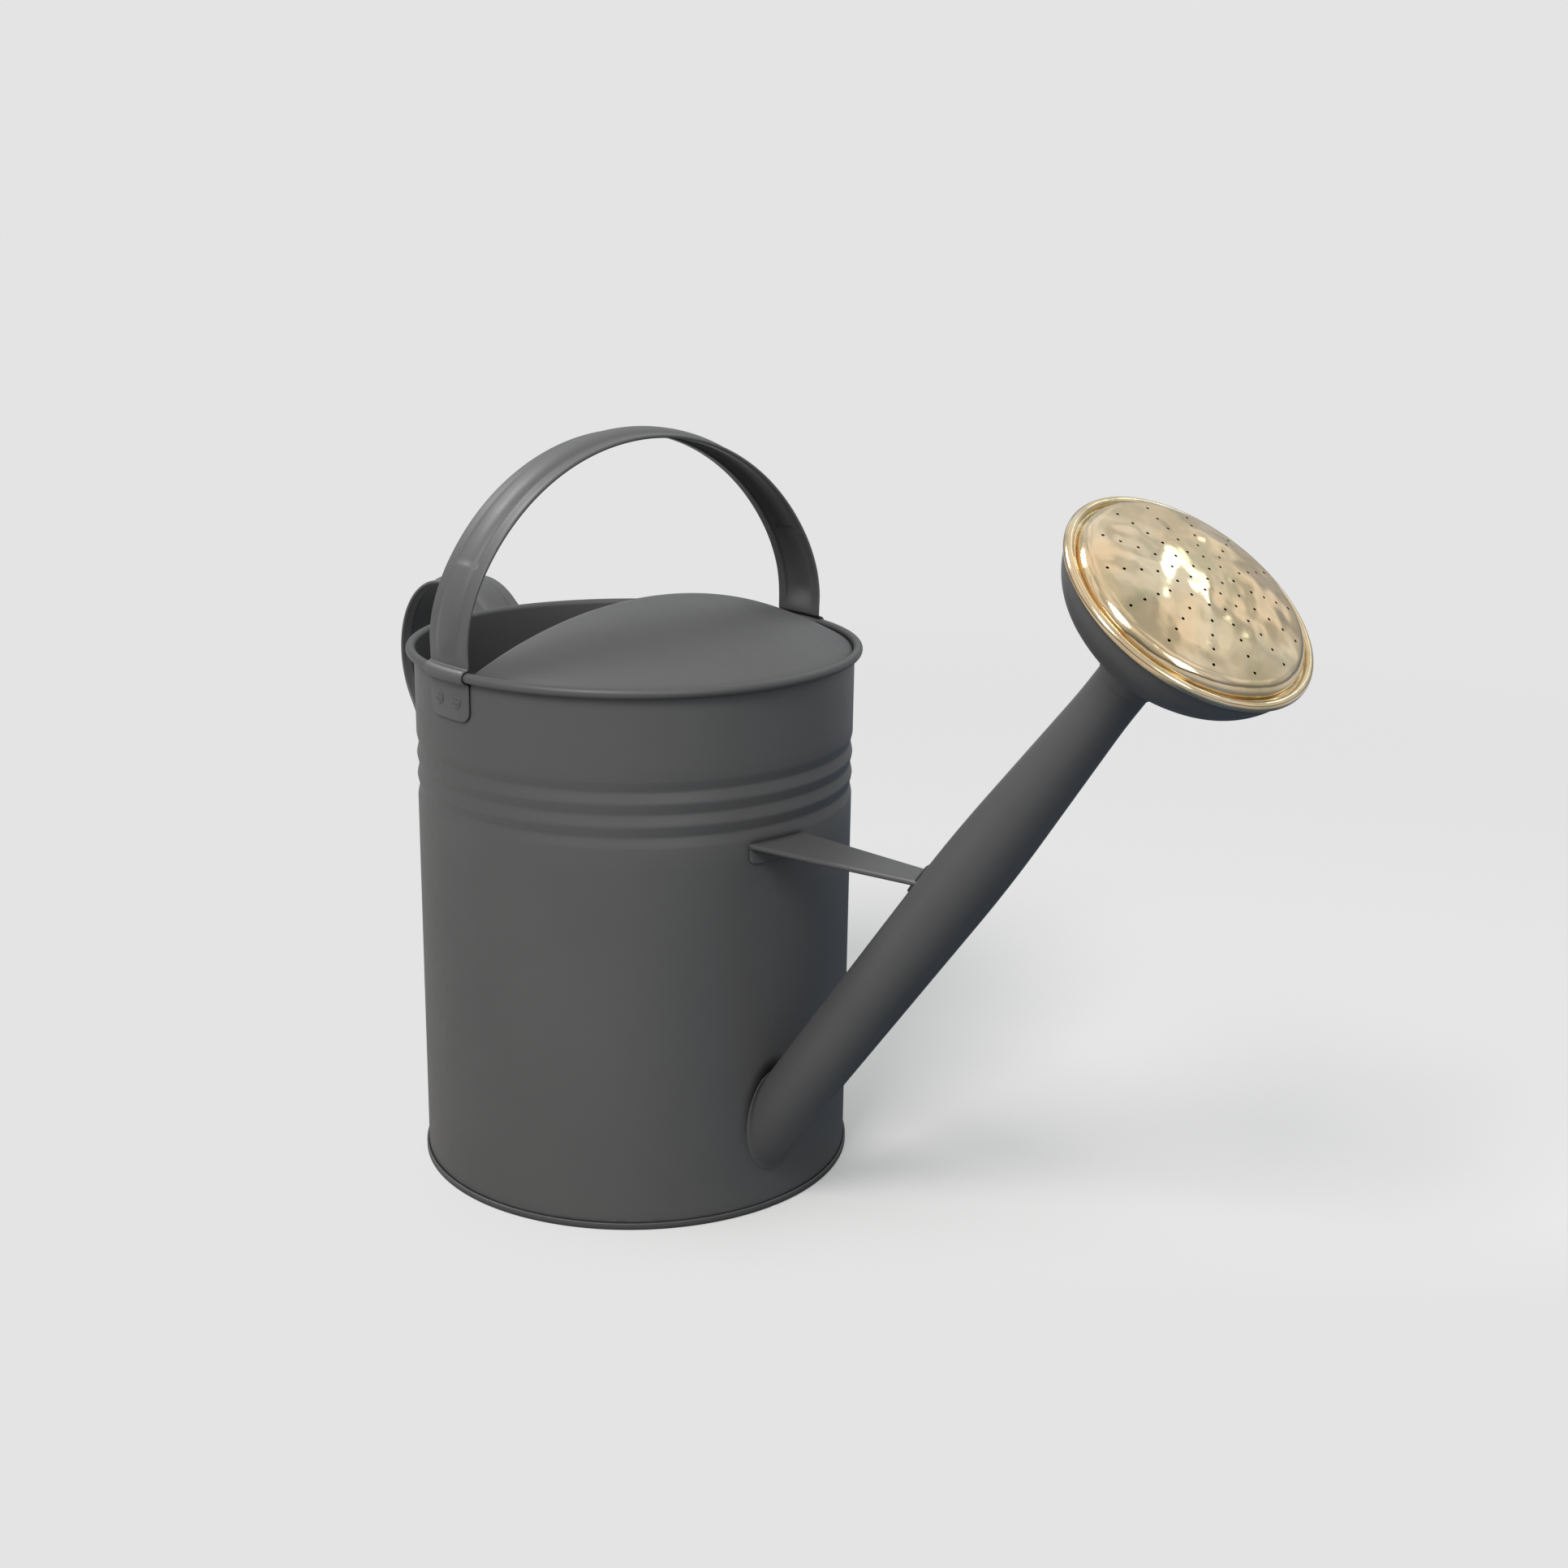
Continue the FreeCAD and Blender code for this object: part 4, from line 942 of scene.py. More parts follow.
@dataclass
class Strap:
    """A handle's strap: its edges folded under, its middle raised in a crown, its ends flat tabs."""

    half_width: float
    crown_half: float = 9.0
    crown: float = 2.6
    skin: float = 0.9
    fold: float = 5.8
    tab: float = 1.2
    corner: float = 5.0

    def section(self, formed: Points, half: Points) -> tuple[Points, Points]:
        """Outline of the strap at each station, as distances across it and out from its inner face.

        The crown is a flattened arch over its half width. formed goes from 0, a flat tab, to 1, the full
        strap: it scales the crown and the hollow behind it, and the edge's thickness goes with it.

        Args:
            formed: Share of the full form at each station.
            half: Half width at each station.

        Returns:
            Distances across and out, shaped stations by outline points.
        """
        formed, half = formed[:, None], half[:, None]
        thick = self.tab + (2 * self.skin - self.tab) * formed
        scale = half / self.half_width
        u = np.linspace(-1, 1, 17) * self.crown_half
        flank = self.half_width - self.skin
        outer = np.concatenate([[-flank, -12.5, -9.6], u, [9.6, 12.5, flank]])[None, :]
        arch = np.clip(1 - np.abs(outer / self.crown_half) ** 2.8, 0, 1)
        outer_out = thick + self.crown * arch * formed
        round_a = np.radians(np.linspace(72, -72, 6))[None, :]
        edge_across = flank + self.skin * np.cos(round_a)
        edge_out = thick / 2 + thick / 2 * np.sin(round_a)
        lip = self.half_width - self.fold
        hollow = np.linspace(lip, -lip, 15)[None, :]
        inner = np.concatenate([[[flank, lip + 0.25]], hollow, [[-lip - 0.25, -flank]]], axis=1)
        inner_arch = np.clip(1 - np.abs(inner / (self.crown_half + 0.2)) ** 2.8, 0, 1)
        under = (self.skin + self.crown * inner_arch) * formed
        in_fold = (np.abs(inner) > lip + 0.1).astype(float)
        inner_out = under * (1 - in_fold)
        across = np.concatenate([outer, edge_across, inner, -edge_across[:, ::-1]], axis=1) + 0 * thick
        out = np.concatenate([outer_out, edge_out, inner_out, edge_out[:, ::-1]], axis=1)
        return across * scale, out

    def foot_width(self, distance: Points) -> Points:
        """Half width near a tab's foot, rounded off: the half width less the corner's circle's setback."""
        into = np.clip(self.corner - distance, 0, self.corner)
        return self.half_width - (self.corner - np.sqrt(self.corner**2 - into**2))


@dataclass
class Handles:
    """The carrying handle over the opening and the tipping handle behind, with their rivets."""

    layout: Layout
    shop: Workshop
    tab_gap: float = 0.05
    tab: float = 1.2
    carry_foot: float = 21.8
    carry_foot_rise: float = 3.7
    carry_shoulder: float = 23.0
    carry_crown: float = 113.8
    carry_crown_drop: float = 10.1
    rear_loop: float = 44.0
    rear_out: float = 46.5
    rear_down: float = 34.8
    rear_starts: tuple = (14.3, 179.8)
    rear_feet: tuple = (36.3, 209.0)
    rivet_drops: tuple = ((12.8,), (27.3, 200.0))
    rivet_sink: float = 0.12
    rivet_spread: float = 7.0
    rivet_head: float = 3.3
    rivet_rise: float = 0.8

    def bend_to_wall(self, width: Points, share: Points) -> Points:
        """How far a flat sheet's edges move in to lie on the wall: the radius less its chord's height."""
        at = self.layout.wall
        return share * (at - np.sqrt(at * at - width * width))

    def carry_path(self) -> tuple[Points, Points, Points]:
        """Inner face of the carrying handle, from the tab on one side over the top to the other.

        Straight up the wall, out and round the rolled rim, then a three-centred arch. The second half
        mirrors the first.

        Returns:
            The path as side and height, the share of the full strap form, and distance from the tab's foot.
        """
        face = self.layout.wall + self.tab_gap
        foot = self.layout.rim - self.carry_foot
        roll = (-self.layout.wall - 1.6, self.layout.rim)
        near, soft = 2.45, 2.2
        turn_low = -face - soft
        span = near + soft
        low_drop = math.sqrt(span**2 - (turn_low - roll[0]) ** 2)
        low = (turn_low, roll[1] - low_drop)
        low_angle = math.degrees(math.atan2(low[1] - roll[1], low[0] - roll[0]))
        top_side = -self.layout.wall - soft
        top_lift = math.sqrt(span**2 - (top_side - roll[0]) ** 2)
        top = (top_side, roll[1] + top_lift)
        top_angle = math.degrees(math.atan2(top[1] - roll[1], top[0] - roll[0]))
        corner = foot + 5 * (1 - np.cos(np.linspace(0, math.pi / 2, 7)))
        shoulder, shoulder_height = self.carry_shoulder, self.layout.rim + self.carry_foot_rise
        side_radius = self.layout.wall - shoulder
        crown_height = self.layout.rim - self.carry_crown_drop
        knee = math.degrees(math.atan2(shoulder_height - crown_height, -shoulder))
        half = join(
            np.column_stack([np.full(7, -face), corner]),
            line((-face, foot + 5), (-face, low[1]), 6),
            arc(low, soft, 0, low_angle + 180, 7),
            arc(roll, near, low_angle + 360, top_angle, 16),
            arc(top, soft, top_angle - 180, 0, 7),
            line((-self.layout.wall, top[1]), (-self.layout.wall, top[1] + 0.5), 2),
            arc((-shoulder, shoulder_height), side_radius, 179, knee, 34),
            arc((0, crown_height), self.carry_crown, knee, 90, 40),
        )
        formed = soft_step(half[:, 1], top[1] + 1.0, top[1] + 13.0)
        formed[: 7 + 6 + 7 + 10] = 0
        distance = np.where(np.arange(len(half)) < 14, half[:, 1] - foot, 99.0)
        mirror = half[:-1][::-1] * np.array([-1.0, 1.0])
        return (
            np.vstack([half, mirror]),
            np.concatenate([formed, formed[:-1][::-1]]),
            np.concatenate([distance, distance[:-1][::-1]]),
        )

    def carry(self) -> bpy.types.Object:
        """Carrying handle: the strap's section carried along its path, bent to the wall near the tabs."""
        strap = Strap(half_width=16.0)
        path, formed, distance = self.carry_path()
        across, out = strap.section(formed, strap.foot_width(distance))
        normal = normals_left(path)
        share = 1 - soft_step(path[:, 1], self.layout.rim + 2, self.layout.rim + 30)
        pull = self.bend_to_wall(across, share[:, None]) * -np.sign(path[:, :1] + 1e-9)
        side = path[:, :1] + out * normal[:, :1] + pull
        up = path[:, 1:] + out * normal[:, 1:]
        builder = Builder()
        builder.loops(np.stack([across, side, up], axis=-1))
        return builder.piece("carry_handle_strap")

    def rear_path(self) -> tuple[Points, Points, Points]:
        """Inner face of the tipping handle: tab, upper run, loop, lower run and lower tab.

        Each straight run is a tangent from a point on the wall to the loop's circle.

        Returns:
            The path as reach and height, the share of the full strap form, and distance from a tab's foot.
        """
        wall, rim = self.layout.wall, self.layout.rim
        loop, radius = np.array([-wall - self.rear_out, rim - self.rear_down]), self.rear_loop
        starts = [np.array([-wall, rim - drop]) for drop in self.rear_starts]
        touches = []
        for start, way in zip(starts, (1, -1)):
            gap = loop - start
            far = np.linalg.norm(gap)
            lean = math.atan2(gap[1], gap[0]) - way * math.asin(radius / far)
            reach = math.sqrt(far**2 - radius**2)
            touches.append(start + reach * np.array([math.cos(lean), math.sin(lean)]))
        back = -(wall + self.tab_gap + self.tab)
        slope = (touches[0] - starts[0]) / np.linalg.norm(touches[0] - starts[0])
        upper = starts[0] + slope * (back - starts[0][0]) / slope[0]
        fall = (starts[1] - touches[1]) / np.linalg.norm(starts[1] - touches[1])
        face = -(wall + self.tab_gap)
        lower = starts[1] + fall * (face - starts[1][0]) / fall[0]
        feet = [rim - drop for drop in self.rear_feet]
        angles = [math.degrees(math.atan2(*(t - loop)[::-1])) % 360 for t in touches]
        ease = 5 * (1 - np.cos(np.linspace(0, math.pi / 2, 7)))
        first = np.column_stack([np.full(7, back), feet[0] + ease])
        last = np.column_stack([np.full(7, face), feet[1] + ease])[::-1]
        bend_up = fillet((back, feet[0]), tuple(upper), tuple(touches[0]), 2.6, 8)
        bend_low = fillet(tuple(touches[1]), tuple(lower), (face, feet[1]), 7.0, 8)
        path = join(
            first,
            line(first[-1], bend_up[0], 4),
            bend_up,
            line(bend_up[-1], touches[0], 10),
            arc(tuple(loop), radius, angles[0], angles[1], 72),
            line(touches[1], bend_low[0], 40),
            bend_low,
            line(bend_low[-1], last[0], 5),
            last,
        )
        travelled = np.concatenate([[0], np.cumsum(np.linalg.norm(np.diff(path, axis=0), axis=1))])
        up_end = travelled[np.argmin(np.linalg.norm(path - bend_up[-1], axis=1))]
        low_start = travelled[np.argmin(np.linalg.norm(path - bend_low[0], axis=1))]
        formed = soft_step(travelled, up_end + 0.5, up_end + 11) * (
            1 - soft_step(travelled, low_start - 12, low_start - 0.5)
        )
        distance = np.minimum(travelled, travelled[-1] - travelled)
        return path, formed, distance

    def rear(self) -> bpy.types.Object:
        """Tipping handle: the strap's section carried along its path, its tabs bent to the wall."""
        strap = Strap(half_width=15.0)
        path, formed, distance = self.rear_path()
        across, out = strap.section(formed, strap.foot_width(distance))
        normal = -normals_left(path)
        share = 1 - soft_step(-path[:, 0], self.layout.wall + 3, self.layout.wall + 26)
        pull = self.bend_to_wall(across, share[:, None])
        reach = path[:, :1] + out * normal[:, :1] + pull
        up = path[:, 1:] + out * normal[:, 1:]
        builder = Builder()
        builder.loops(np.stack([reach, across, up], axis=-1))
        return builder.piece("rear_handle_strap")

    def rivets(self, name: str, places: list[tuple[Points, Points]]) -> bpy.types.Object:
        """Staked rivets: a low dome with four punch marks round its middle, and a flat head inside the wall.

        The dome's height is a parabola of the distance from its centre, less four bell curves.

        Args:
            name: The piece's name.
            places: Where each head sits on its tab, and the direction away from the can.

        Returns:
            One piece with every rivet.
        """
        radius = self.rivet_head * np.array([1.0, 1.02, 0.98, 0.9, 0.78, 0.65, 0.5, 0.35, 0.2, 0.0])
        rise = self.rivet_rise
        spot, spread, depth = 1.75, 0.5, 0.62
        lift = np.array([0.0, 0.2, 0.36, 0.5, 0.62, 0.7, 0.75, 0.78, 0.8, 0.8]) * rise / 0.8
        angle = np.linspace(0, 2 * math.pi, 40, endpoint=False)[:, None]
        builder = Builder()
        for base, away in places:
            up = np.array([0.0, 0.0, 1.0])
            flat = np.cross(up, away)
            x = radius[None, :] * np.cos(angle)
            y = radius[None, :] * np.sin(angle)
            dents = sum(
                np.exp(-((x - spot * math.cos(a)) ** 2 + (y - spot * math.sin(a)) ** 2) / spread)
                for a in np.radians([38, 128, 218, 308])
            )
            height = np.maximum(lift[None, :] - depth * dents, 0.02)
            head = base + x[..., None] * flat + y[..., None] * up + height[..., None] * away
            shank = [(3.0, 0.0), (1.6, 0.0), (1.6, -1.9), (3.0, -2.05), (3.1, -2.4), (2.2, -2.85), (0, -2.9)]
            ring = np.array(shank)
            x = ring[None, :, 0] * np.cos(angle)
            y = ring[None, :, 0] * np.sin(angle)
            back = base + x[..., None] * flat + y[..., None] * up + ring[None, :, 1, None] * away
            joined = np.concatenate([head[:, ::-1], back], axis=1)
            builder.grid(joined, wrap_rows=True)
        return builder.piece(name)

    def rivet_places(self) -> tuple[list, list]:
        """Each rivet's seat on its tab's outer face, and the way out, for both handles."""
        at = self.layout.wall + self.tab_gap + self.tab - self.rivet_sink
        turn = math.asin(self.rivet_spread / at)
        made = []
        for centres, drops in zip(((math.pi / 2, -math.pi / 2), (math.pi,)), self.rivet_drops):
            made.append(
                [
                    (
                        np.array([at * math.cos(a), at * math.sin(a), self.layout.rim - drop]),
                        np.array([math.cos(a), math.sin(a), 0.0]),
                    )
                    for centre in centres
                    for drop in drops
                    for a in (centre - turn, centre + turn)
                ]
            )
        return made[0], made[1]

    def build(self) -> None:
        """Makes and dresses both handles and their rivets."""
        self.shop.fit(self.carry(), "can", Slot.PAINT, "carry_handle")
        self.shop.fit(self.rear(), "can", Slot.PAINT, "rear_handle")
        carry, rear = self.rivet_places()
        self.shop.fit(self.rivets("carry_rivets_staked", carry), "can", Slot.PAINT, "carry_handle_rivets")
        self.shop.fit(self.rivets("rear_rivets_staked", rear), "can", Slot.PAINT, "rear_handle_rivets")


# ---------------------------------------------------------------------------------------------
# Spout and brace
# ---------------------------------------------------------------------------------------------


@dataclass
class Spout:
    """Tapered tube saddled to the wall, and the folded brace that holds it off."""

    layout: Layout
    shop: Workshop
    root: float = 15.6
    waist: float = 16.5
    waist_place: float = 212.0
    tip: float = 11.5
    tip_place: float = 312.0
    length: float = 349.0
    sheet: float = 0.8
    lip: float = 0.8
    blend: float = 28.0
    seam_rise: float = 0.22
    seam_half: float = 2.2
    brace_half: tuple = (17.0, 8.7)
    brace_drop: tuple = (75.7, 69.3)
    flange_half: float = 16.6
    grip_half: float = 8.0
    grip_back: float = 13.0

    def radius(self, along: Points) -> Points:
        """Outer radius: straight tapers joined by parabolas over the blend's length at each change.

        Args:
            along: Distance along the axis.

        Returns:
            The radius there.
        """
        rise = (self.waist - self.root) / self.waist_place
        fall = (self.tip - self.waist) / (self.tip_place - self.waist_place)
        radius = self.root + rise * along
        for place, change, half in (
            (self.waist_place, fall - rise, self.blend),
            (self.tip_place, -fall, 10.0),
        ):
            past = np.clip(along - place + half, 0, 2 * half)
            radius = radius + change * (past**2 / (4 * half) + np.clip(along - place - half, 0, None))
        return radius

    def tube(self) -> bpy.types.Object:
        """Tube: for each position round it, a closed section from the lip on the wall to the tip and back.

        The lip's points lie on cylinders about the can's axis, and the tube's on its own radius.
        """
        angle = np.linspace(0, 2 * math.pi, 96, endpoint=False)[:, None]
        wall = self.layout.wall
        rows = [
            (self.root + self.lip, wall - 0.02),
            (self.root + self.lip, wall + 0.4),
            (self.root + self.lip - 0.08, wall + 0.62),
            (self.root + self.lip - 0.2, wall + 0.75),
            (self.root + 0.45, wall + 0.86),
            (self.root + 0.30, wall + 1.1),
            (self.root + 0.18, wall + 1.5),
            (self.root + 0.06, wall + 2.1),
        ]
        seat = np.array(rows)
        radius = seat[None, :, 0] + 0 * angle
        along = self.layout.along_at_wall(seat[None, :, 0], seat[None, :, 1], angle)
        start = self.layout.along_at_wall(self.root, wall + 3.0, angle)
        share = np.linspace(0, 1, 110)[None, :]
        run = start + (self.length - 0.3 - start) * share
        tube = self.radius(run)
        end = np.array([[self.length]])
        tip_along = np.concatenate([end - 0.08, end, end, end - 0.08], axis=1) + 0 * angle
        tip_radius = self.tip - np.array([[0.1, 0.25, 0.55, 0.7]]) + 0 * angle
        inner_start = self.layout.along_at_wall(self.root - self.sheet, wall - 0.6, angle)
        back = inner_start + (self.length - 0.3 - inner_start) * share[:, ::-1]
        bore = self.radius(back) - self.sheet
        end_seat = np.array([(self.root - 0.45, wall - 0.6), (self.root - 0.45, wall - 0.02)])
        closing = self.layout.along_at_wall(end_seat[None, :, 0], end_seat[None, :, 1], angle)
        radius = np.concatenate([radius, tube, tip_radius, bore, end_seat[None, :, 0] + 0 * angle], axis=1)
        along = np.concatenate([along, run, tip_along, back, closing], axis=1)
        turn = (angle + math.pi) % (2 * math.pi) - math.pi
        seam = self.seam_rise * np.exp(-((turn * self.root / self.seam_half) ** 4))
        outside = (np.arange(radius.shape[1]) < len(rows) + 110)[None, :]
        radius = radius + seam * outside * soft_step(along, 12, 30) * (1 - soft_step(along, 318, 326))
        points = self.layout.on_spout(radius * np.cos(angle), radius * np.sin(angle), along)
        builder = Builder()
        builder.grid(points, wrap_rows=True, wrap_columns=True)
        return builder.piece("spout_rolled")

    def brace(self) -> bpy.types.Object:
        """Brace: a tapering plate whose long edges curl under, a flange on the wall and a tab on the spout.

        The plate's section is a sheet outline, a flat run between two arcs of 250 degrees, and its half
        width falls evenly along it. The ends follow the wall and the spout.
        """
        wall = self.layout.wall
        skin, curl = 0.9, 1.45
        low, high = (self.layout.rim - drop for drop in self.brace_drop)
        half = np.linspace(*self.brace_half, 24)
        middle_z = -skin / 2
        radius = curl - skin / 2
        left = arc((-1.0, middle_z - radius), radius, 335, 90, 13)
        flat = np.linspace(0, 1, 15)[1:-1]
        sections = []
        for width in half:
            start = left + np.array([-width + curl + 1.0, 0.0])
            end = start[::-1] * np.array([-1.0, 1.0])
            run = start[-1] + (end[0] - start[-1]) * flat[:, None]
            sections.append(sheet_outline(np.vstack([start, run, end]), skin))
        outline = np.array(sections)
        side, drop = outline[..., 0], outline[..., 1]
        share = np.linspace(0, 1, 24)[:, None]
        up = low + (high - low) * share + drop
        near = np.sqrt(wall**2 - np.clip(np.abs(side), 0, wall) ** 2) - 0.1
        span = (up - self.layout.root[2]) / self.layout.along[2]
        axis_x = self.layout.root[0] + self.layout.along[0] * span
        tube = self.radius(span)
        inside = np.clip(1 - (side / tube) ** 2, 0, 1)
        far = axis_x - tube / self.layout.along[2] * np.sqrt(inside) + 0.5
        reach = near + (far - near) * share
        builder = Builder()
        builder.loops(np.stack([reach, side, up], axis=-1))
        self.flange(builder, low)
        self.grip(builder, high)
        return builder.piece("spout_brace_folded")

    def flange(self, builder: Builder, top: float) -> None:
        """Adds the flange: a closed sheet over a patch of the wall, its lower corners rounded.

        Args:
            builder: Where it goes.
            top: Height of the plate.
        """
        skin, depth, corner = 1.0, 10.0, 3.0
        rounded = depth - corner * (1 - np.sin(np.linspace(0, math.pi / 2, 7)[1:]))
        drop = np.concatenate([np.linspace(0.3, depth - corner, 6), rounded])
        into = np.clip(drop - (depth - corner), 0, corner)
        half = self.flange_half - (corner - np.sqrt(np.clip(corner**2 - into**2, 0, None)))
        across = np.linspace(-1, 1, 21)
        section = np.concatenate([across, across[::-1]])
        out = np.concatenate([np.full(21, skin), np.zeros(21)])
        out[[0, 20]] = skin * 0.75
        side = half[:, None] * section[None, :]
        shell = self.layout.wall + 0.05 + out[None, :]
        reach = np.sqrt(shell**2 - side**2)
        builder.loops(np.stack([reach, side, top - drop[:, None] + 0 * side], axis=-1))

    def grip(self, builder: Builder, top: float) -> None:
        """Adds the tab: a closed sheet over a patch of the spout, below and above the plate's end.

        Args:
            builder: Where it goes.
            top: Height of the plate's end.
        """
        skin, corner, half = 1.0, 3.0, self.grip_half
        half_turn = math.asin(half / 16.4)
        centre = (top - self.layout.root[2]) / self.layout.along[2] - self.grip_back
        along = centre + np.linspace(-half, half, 13)
        into = np.clip(np.abs(along - centre) - (half - corner), 0, corner)
        turn = half_turn * (1 - (corner - np.sqrt(corner**2 - into**2)) / half)
        across = np.linspace(-1, 1, 13)
        section = np.concatenate([across, across[::-1]])
        out = np.concatenate([np.full(13, skin), np.full(13, 0.03)])
        out[[0, 12]] = skin * 0.7
        angle = math.pi + turn[:, None] * section[None, :]
        radius = self.radius(along)[:, None] + out[None, :]
        points = self.layout.on_spout(
            radius * np.cos(angle), radius * np.sin(angle), along[:, None] + 0 * angle
        )
        builder.loops(points)

    def build(self) -> None:
        """Makes and dresses the spout and its brace."""
        self.shop.fit(self.tube(), "can", Slot.PAINT, "spout_tube")
        self.shop.fit(self.brace(), "can", Slot.PAINT, "spout_brace")


# ---------------------------------------------------------------------------------------------
# Rose
# ---------------------------------------------------------------------------------------------


@dataclass
class Rose:
    """Perforated brass face on a painted cup, with its sleeve and seal."""

    layout: Layout
    shop: Workshop
    place: float = 374.0
    ring_radius: float = 52.2
    ring_section: float = 2.0
    skin: float = 0.5
    valley: float = 48.8
    edge: float = 43.4
    step: float = 6.2
    rise: float = 5.2
    hole: float = 0.65
    steps: int = 240

    def turned(self, section: Points, steps: int) -> Points:
        """Section turned about the spout's axis.

        Args:
            section: Radius and distance along the axis.
            steps: Positions round the axis.

        Returns:
            Points in the row frame.
        """
        plain = turned(section, steps)
        return self.layout.on_spout(plain[..., 0], plain[..., 1], plain[..., 2])

    def ring(self, name: str, outline: Points, steps: int) -> bpy.types.Object:
        """A closed outline turned about the spout's axis.

        Args:
            name: The piece's name.
            outline: Radius and distance along the axis.
            steps: Positions round the axis.

        Returns:
            The piece.
        """
        builder = Builder()
        builder.grid(self.turned(outline, steps), wrap_rows=True, wrap_columns=True)
        return builder.piece(name)

    def holes(self) -> Points:
        """Centres of the holes: one in the middle, two rings, and fourteen spokes of four.

        Returns:
            Across and side of each.
        """
        rings = [(0.0, 1, 0.0), (7.3, 6, 9.0), (14.5, 12, 21.0)]
        rings += [(radius, 14, 16.0) for radius in (21.6, 28.35, 35.1, 41.85)]
        found = [
            arc((0, 0), radius, phase, phase + 360 * (count - 1) / count, count)
            for radius, count, phase in rings
        ]
        return np.vstack(found)

    def dome(self, across: Points, side: Points) -> Points:
        """Height of the face's middle surface over the ring's plane.

        A ball's cap, with shallow dents: a few sine waves crossing each other, faded to nothing at the
        edge, and a slight dimple round each hole.

        Args:
            across: Distance from the axis, away from the can and down.
            side: Distance to the side.

        Returns:
            The height.
        """
        ball = (self.edge**2 + self.rise**2) / (2 * self.rise)
        away = np.hypot(across, side)
        cap = np.sqrt(ball**2 - np.minimum(away, ball) ** 2) - (ball - self.rise)
        waves = (
            0.20 * np.sin(across / 4.0 + 0.7 + 1.3 * np.sin(side / 9.0))
            + 0.19 * np.sin(side / 4.6 + 1.9 + 1.1 * np.sin(across / 7.5))
            + 0.07 * np.sin((across + side) / 2.3 + 0.4)
        )
        fade = 1 - soft_step(away, self.edge - 9, self.edge - 1)
        return self.step + cap + waves * fade

    def face_section(self) -> Points:
        """Outline of the face's sheet outside the dome: shoulder, valley and rolled ring, and back."""
        lip = self.edge
        base = self.dome(np.array([lip]), np.array([0.0]))[0]
        slope = lip / ((self.edge**2 + self.rise**2) / (2 * self.rise))
        start = (lip, base)
        corner = (48.3, base - (48.3 - lip) * slope)
        foot = (self.valley + 0.4, 0.0)
        outer = self.ring_radius - self.ring_section
        middle = join(
            np.array([start]),
            fillet(start, corner, foot, 6.0, 20),
            fillet(corner, foot, (outer + 0.25, 0.02), 0.6, 5),
            line((outer - 0.3, 0.0), (outer + 0.25, 0.0), 2),
            arc((self.ring_radius, 0.0), self.ring_section - self.skin / 2, 180, -80, 32),
        )
        return sheet_outline(middle, self.skin)[: 2 * len(middle) + 3]

    def face(self) -> bpy.types.Object:
        """Face: a triangulated disc with round holes, lifted onto the dome, and its turned shoulder.

        The disc's points lie on even rings. Points too near a hole give way to the hole's own circle.
        """
        section = self.face_section()
        outer_edge, inner_edge = section[0], section[-1]
        builder = Builder()
        builder.grid(self.turned(section + np.array([0.0, self.place]), self.steps), wrap_rows=True)
        centres = self.holes()
        around = np.linspace(0, 2 * math.pi, 14, endpoint=False)
        circle = self.hole * np.column_stack([np.cos(around), np.sin(around)])
        rims = centres[:, None, :] + circle[None, :, :]
        rings = [
            arc((0, 0), radius, 0, 360 - 360 / count, count)
            for radius in np.linspace(1.3, self.edge - 1.25, 32)
            for count in [max(6, int(2 * math.pi * radius / 1.35))]
        ]
        cloud = np.vstack(rings)
        gap = np.linalg.norm(cloud[:, None, :] - centres[None, :, :], axis=-1).min(axis=1)
        cloud = cloud[gap > self.hole + 0.5]
        collar = centres[:, None, :] + circle[None, ::2, :] * (self.hole + 0.42) / self.hole
        collar = collar.reshape(-1, 2)
        collar = collar[np.hypot(collar[:, 0], collar[:, 1]) < self.edge - 0.4]
        border = arc((0, 0), self.edge, 0, 360 - 360 / self.steps, self.steps)
        flat = np.vstack([rims.reshape(-1, 2), border, collar, cloud])
        hole_count = rims.shape[0] * rims.shape[1]
        ring = np.arange(14)
        edges = [
            (int(h * 14 + a), int(h * 14 + (a + 1) % 14)) for h in range(len(centres)) for a in ring
        ]
        edges += [
            (hole_count + a, hole_count + (a + 1) % self.steps) for a in range(self.steps)
        ]
        placed, _, faces, origins = delaunay_2d_cdt(
            [Vector(p) for p in flat], edges, [], 0, 1e-5
        )[:4]
        spots = np.array([tuple(p) for p in placed])
        of_hole = np.array([min(o) // 14 if o and min(o) < hole_count else -1 for o in origins])
        kept = [
            f for f in faces
            if not (of_hole[f[0]] >= 0 and all(of_hole[v] == of_hole[f[0]] for v in f))
        ]
        self.disc(builder, spots, kept, outer_edge, 1.0)
        self.disc(builder, spots, kept, inner_edge, -1.0)
        self.bores(builder, rims)
        return builder.piece("rose_face_spun", 0.03 * MM)

    def lifted(self, spots: Points, side: float) -> Points:
        """Points of the disc on one face of its sheet: half the sheet's thickness off the dome.

        Args:
            spots: Across and side.
            side: 1 for outside, -1 for inside.

        Returns:
            Points in the row frame.
        """
        small = 0.01
        across, beside = spots[..., 0], spots[..., 1]
        height = self.dome(across, beside)
        lean = np.stack(
            [
                (self.dome(across + small, beside) - height) / small,
                (self.dome(across, beside + small) - height) / small,
            ],
            axis=-1,
        )
        size = np.sqrt(1 + (lean**2).sum(-1))
        half = side * self.skin / 2
        return self.layout.on_spout(
            across - half * lean[..., 0] / size,
            beside - half * lean[..., 1] / size,
            self.place + height + half / size,
        )

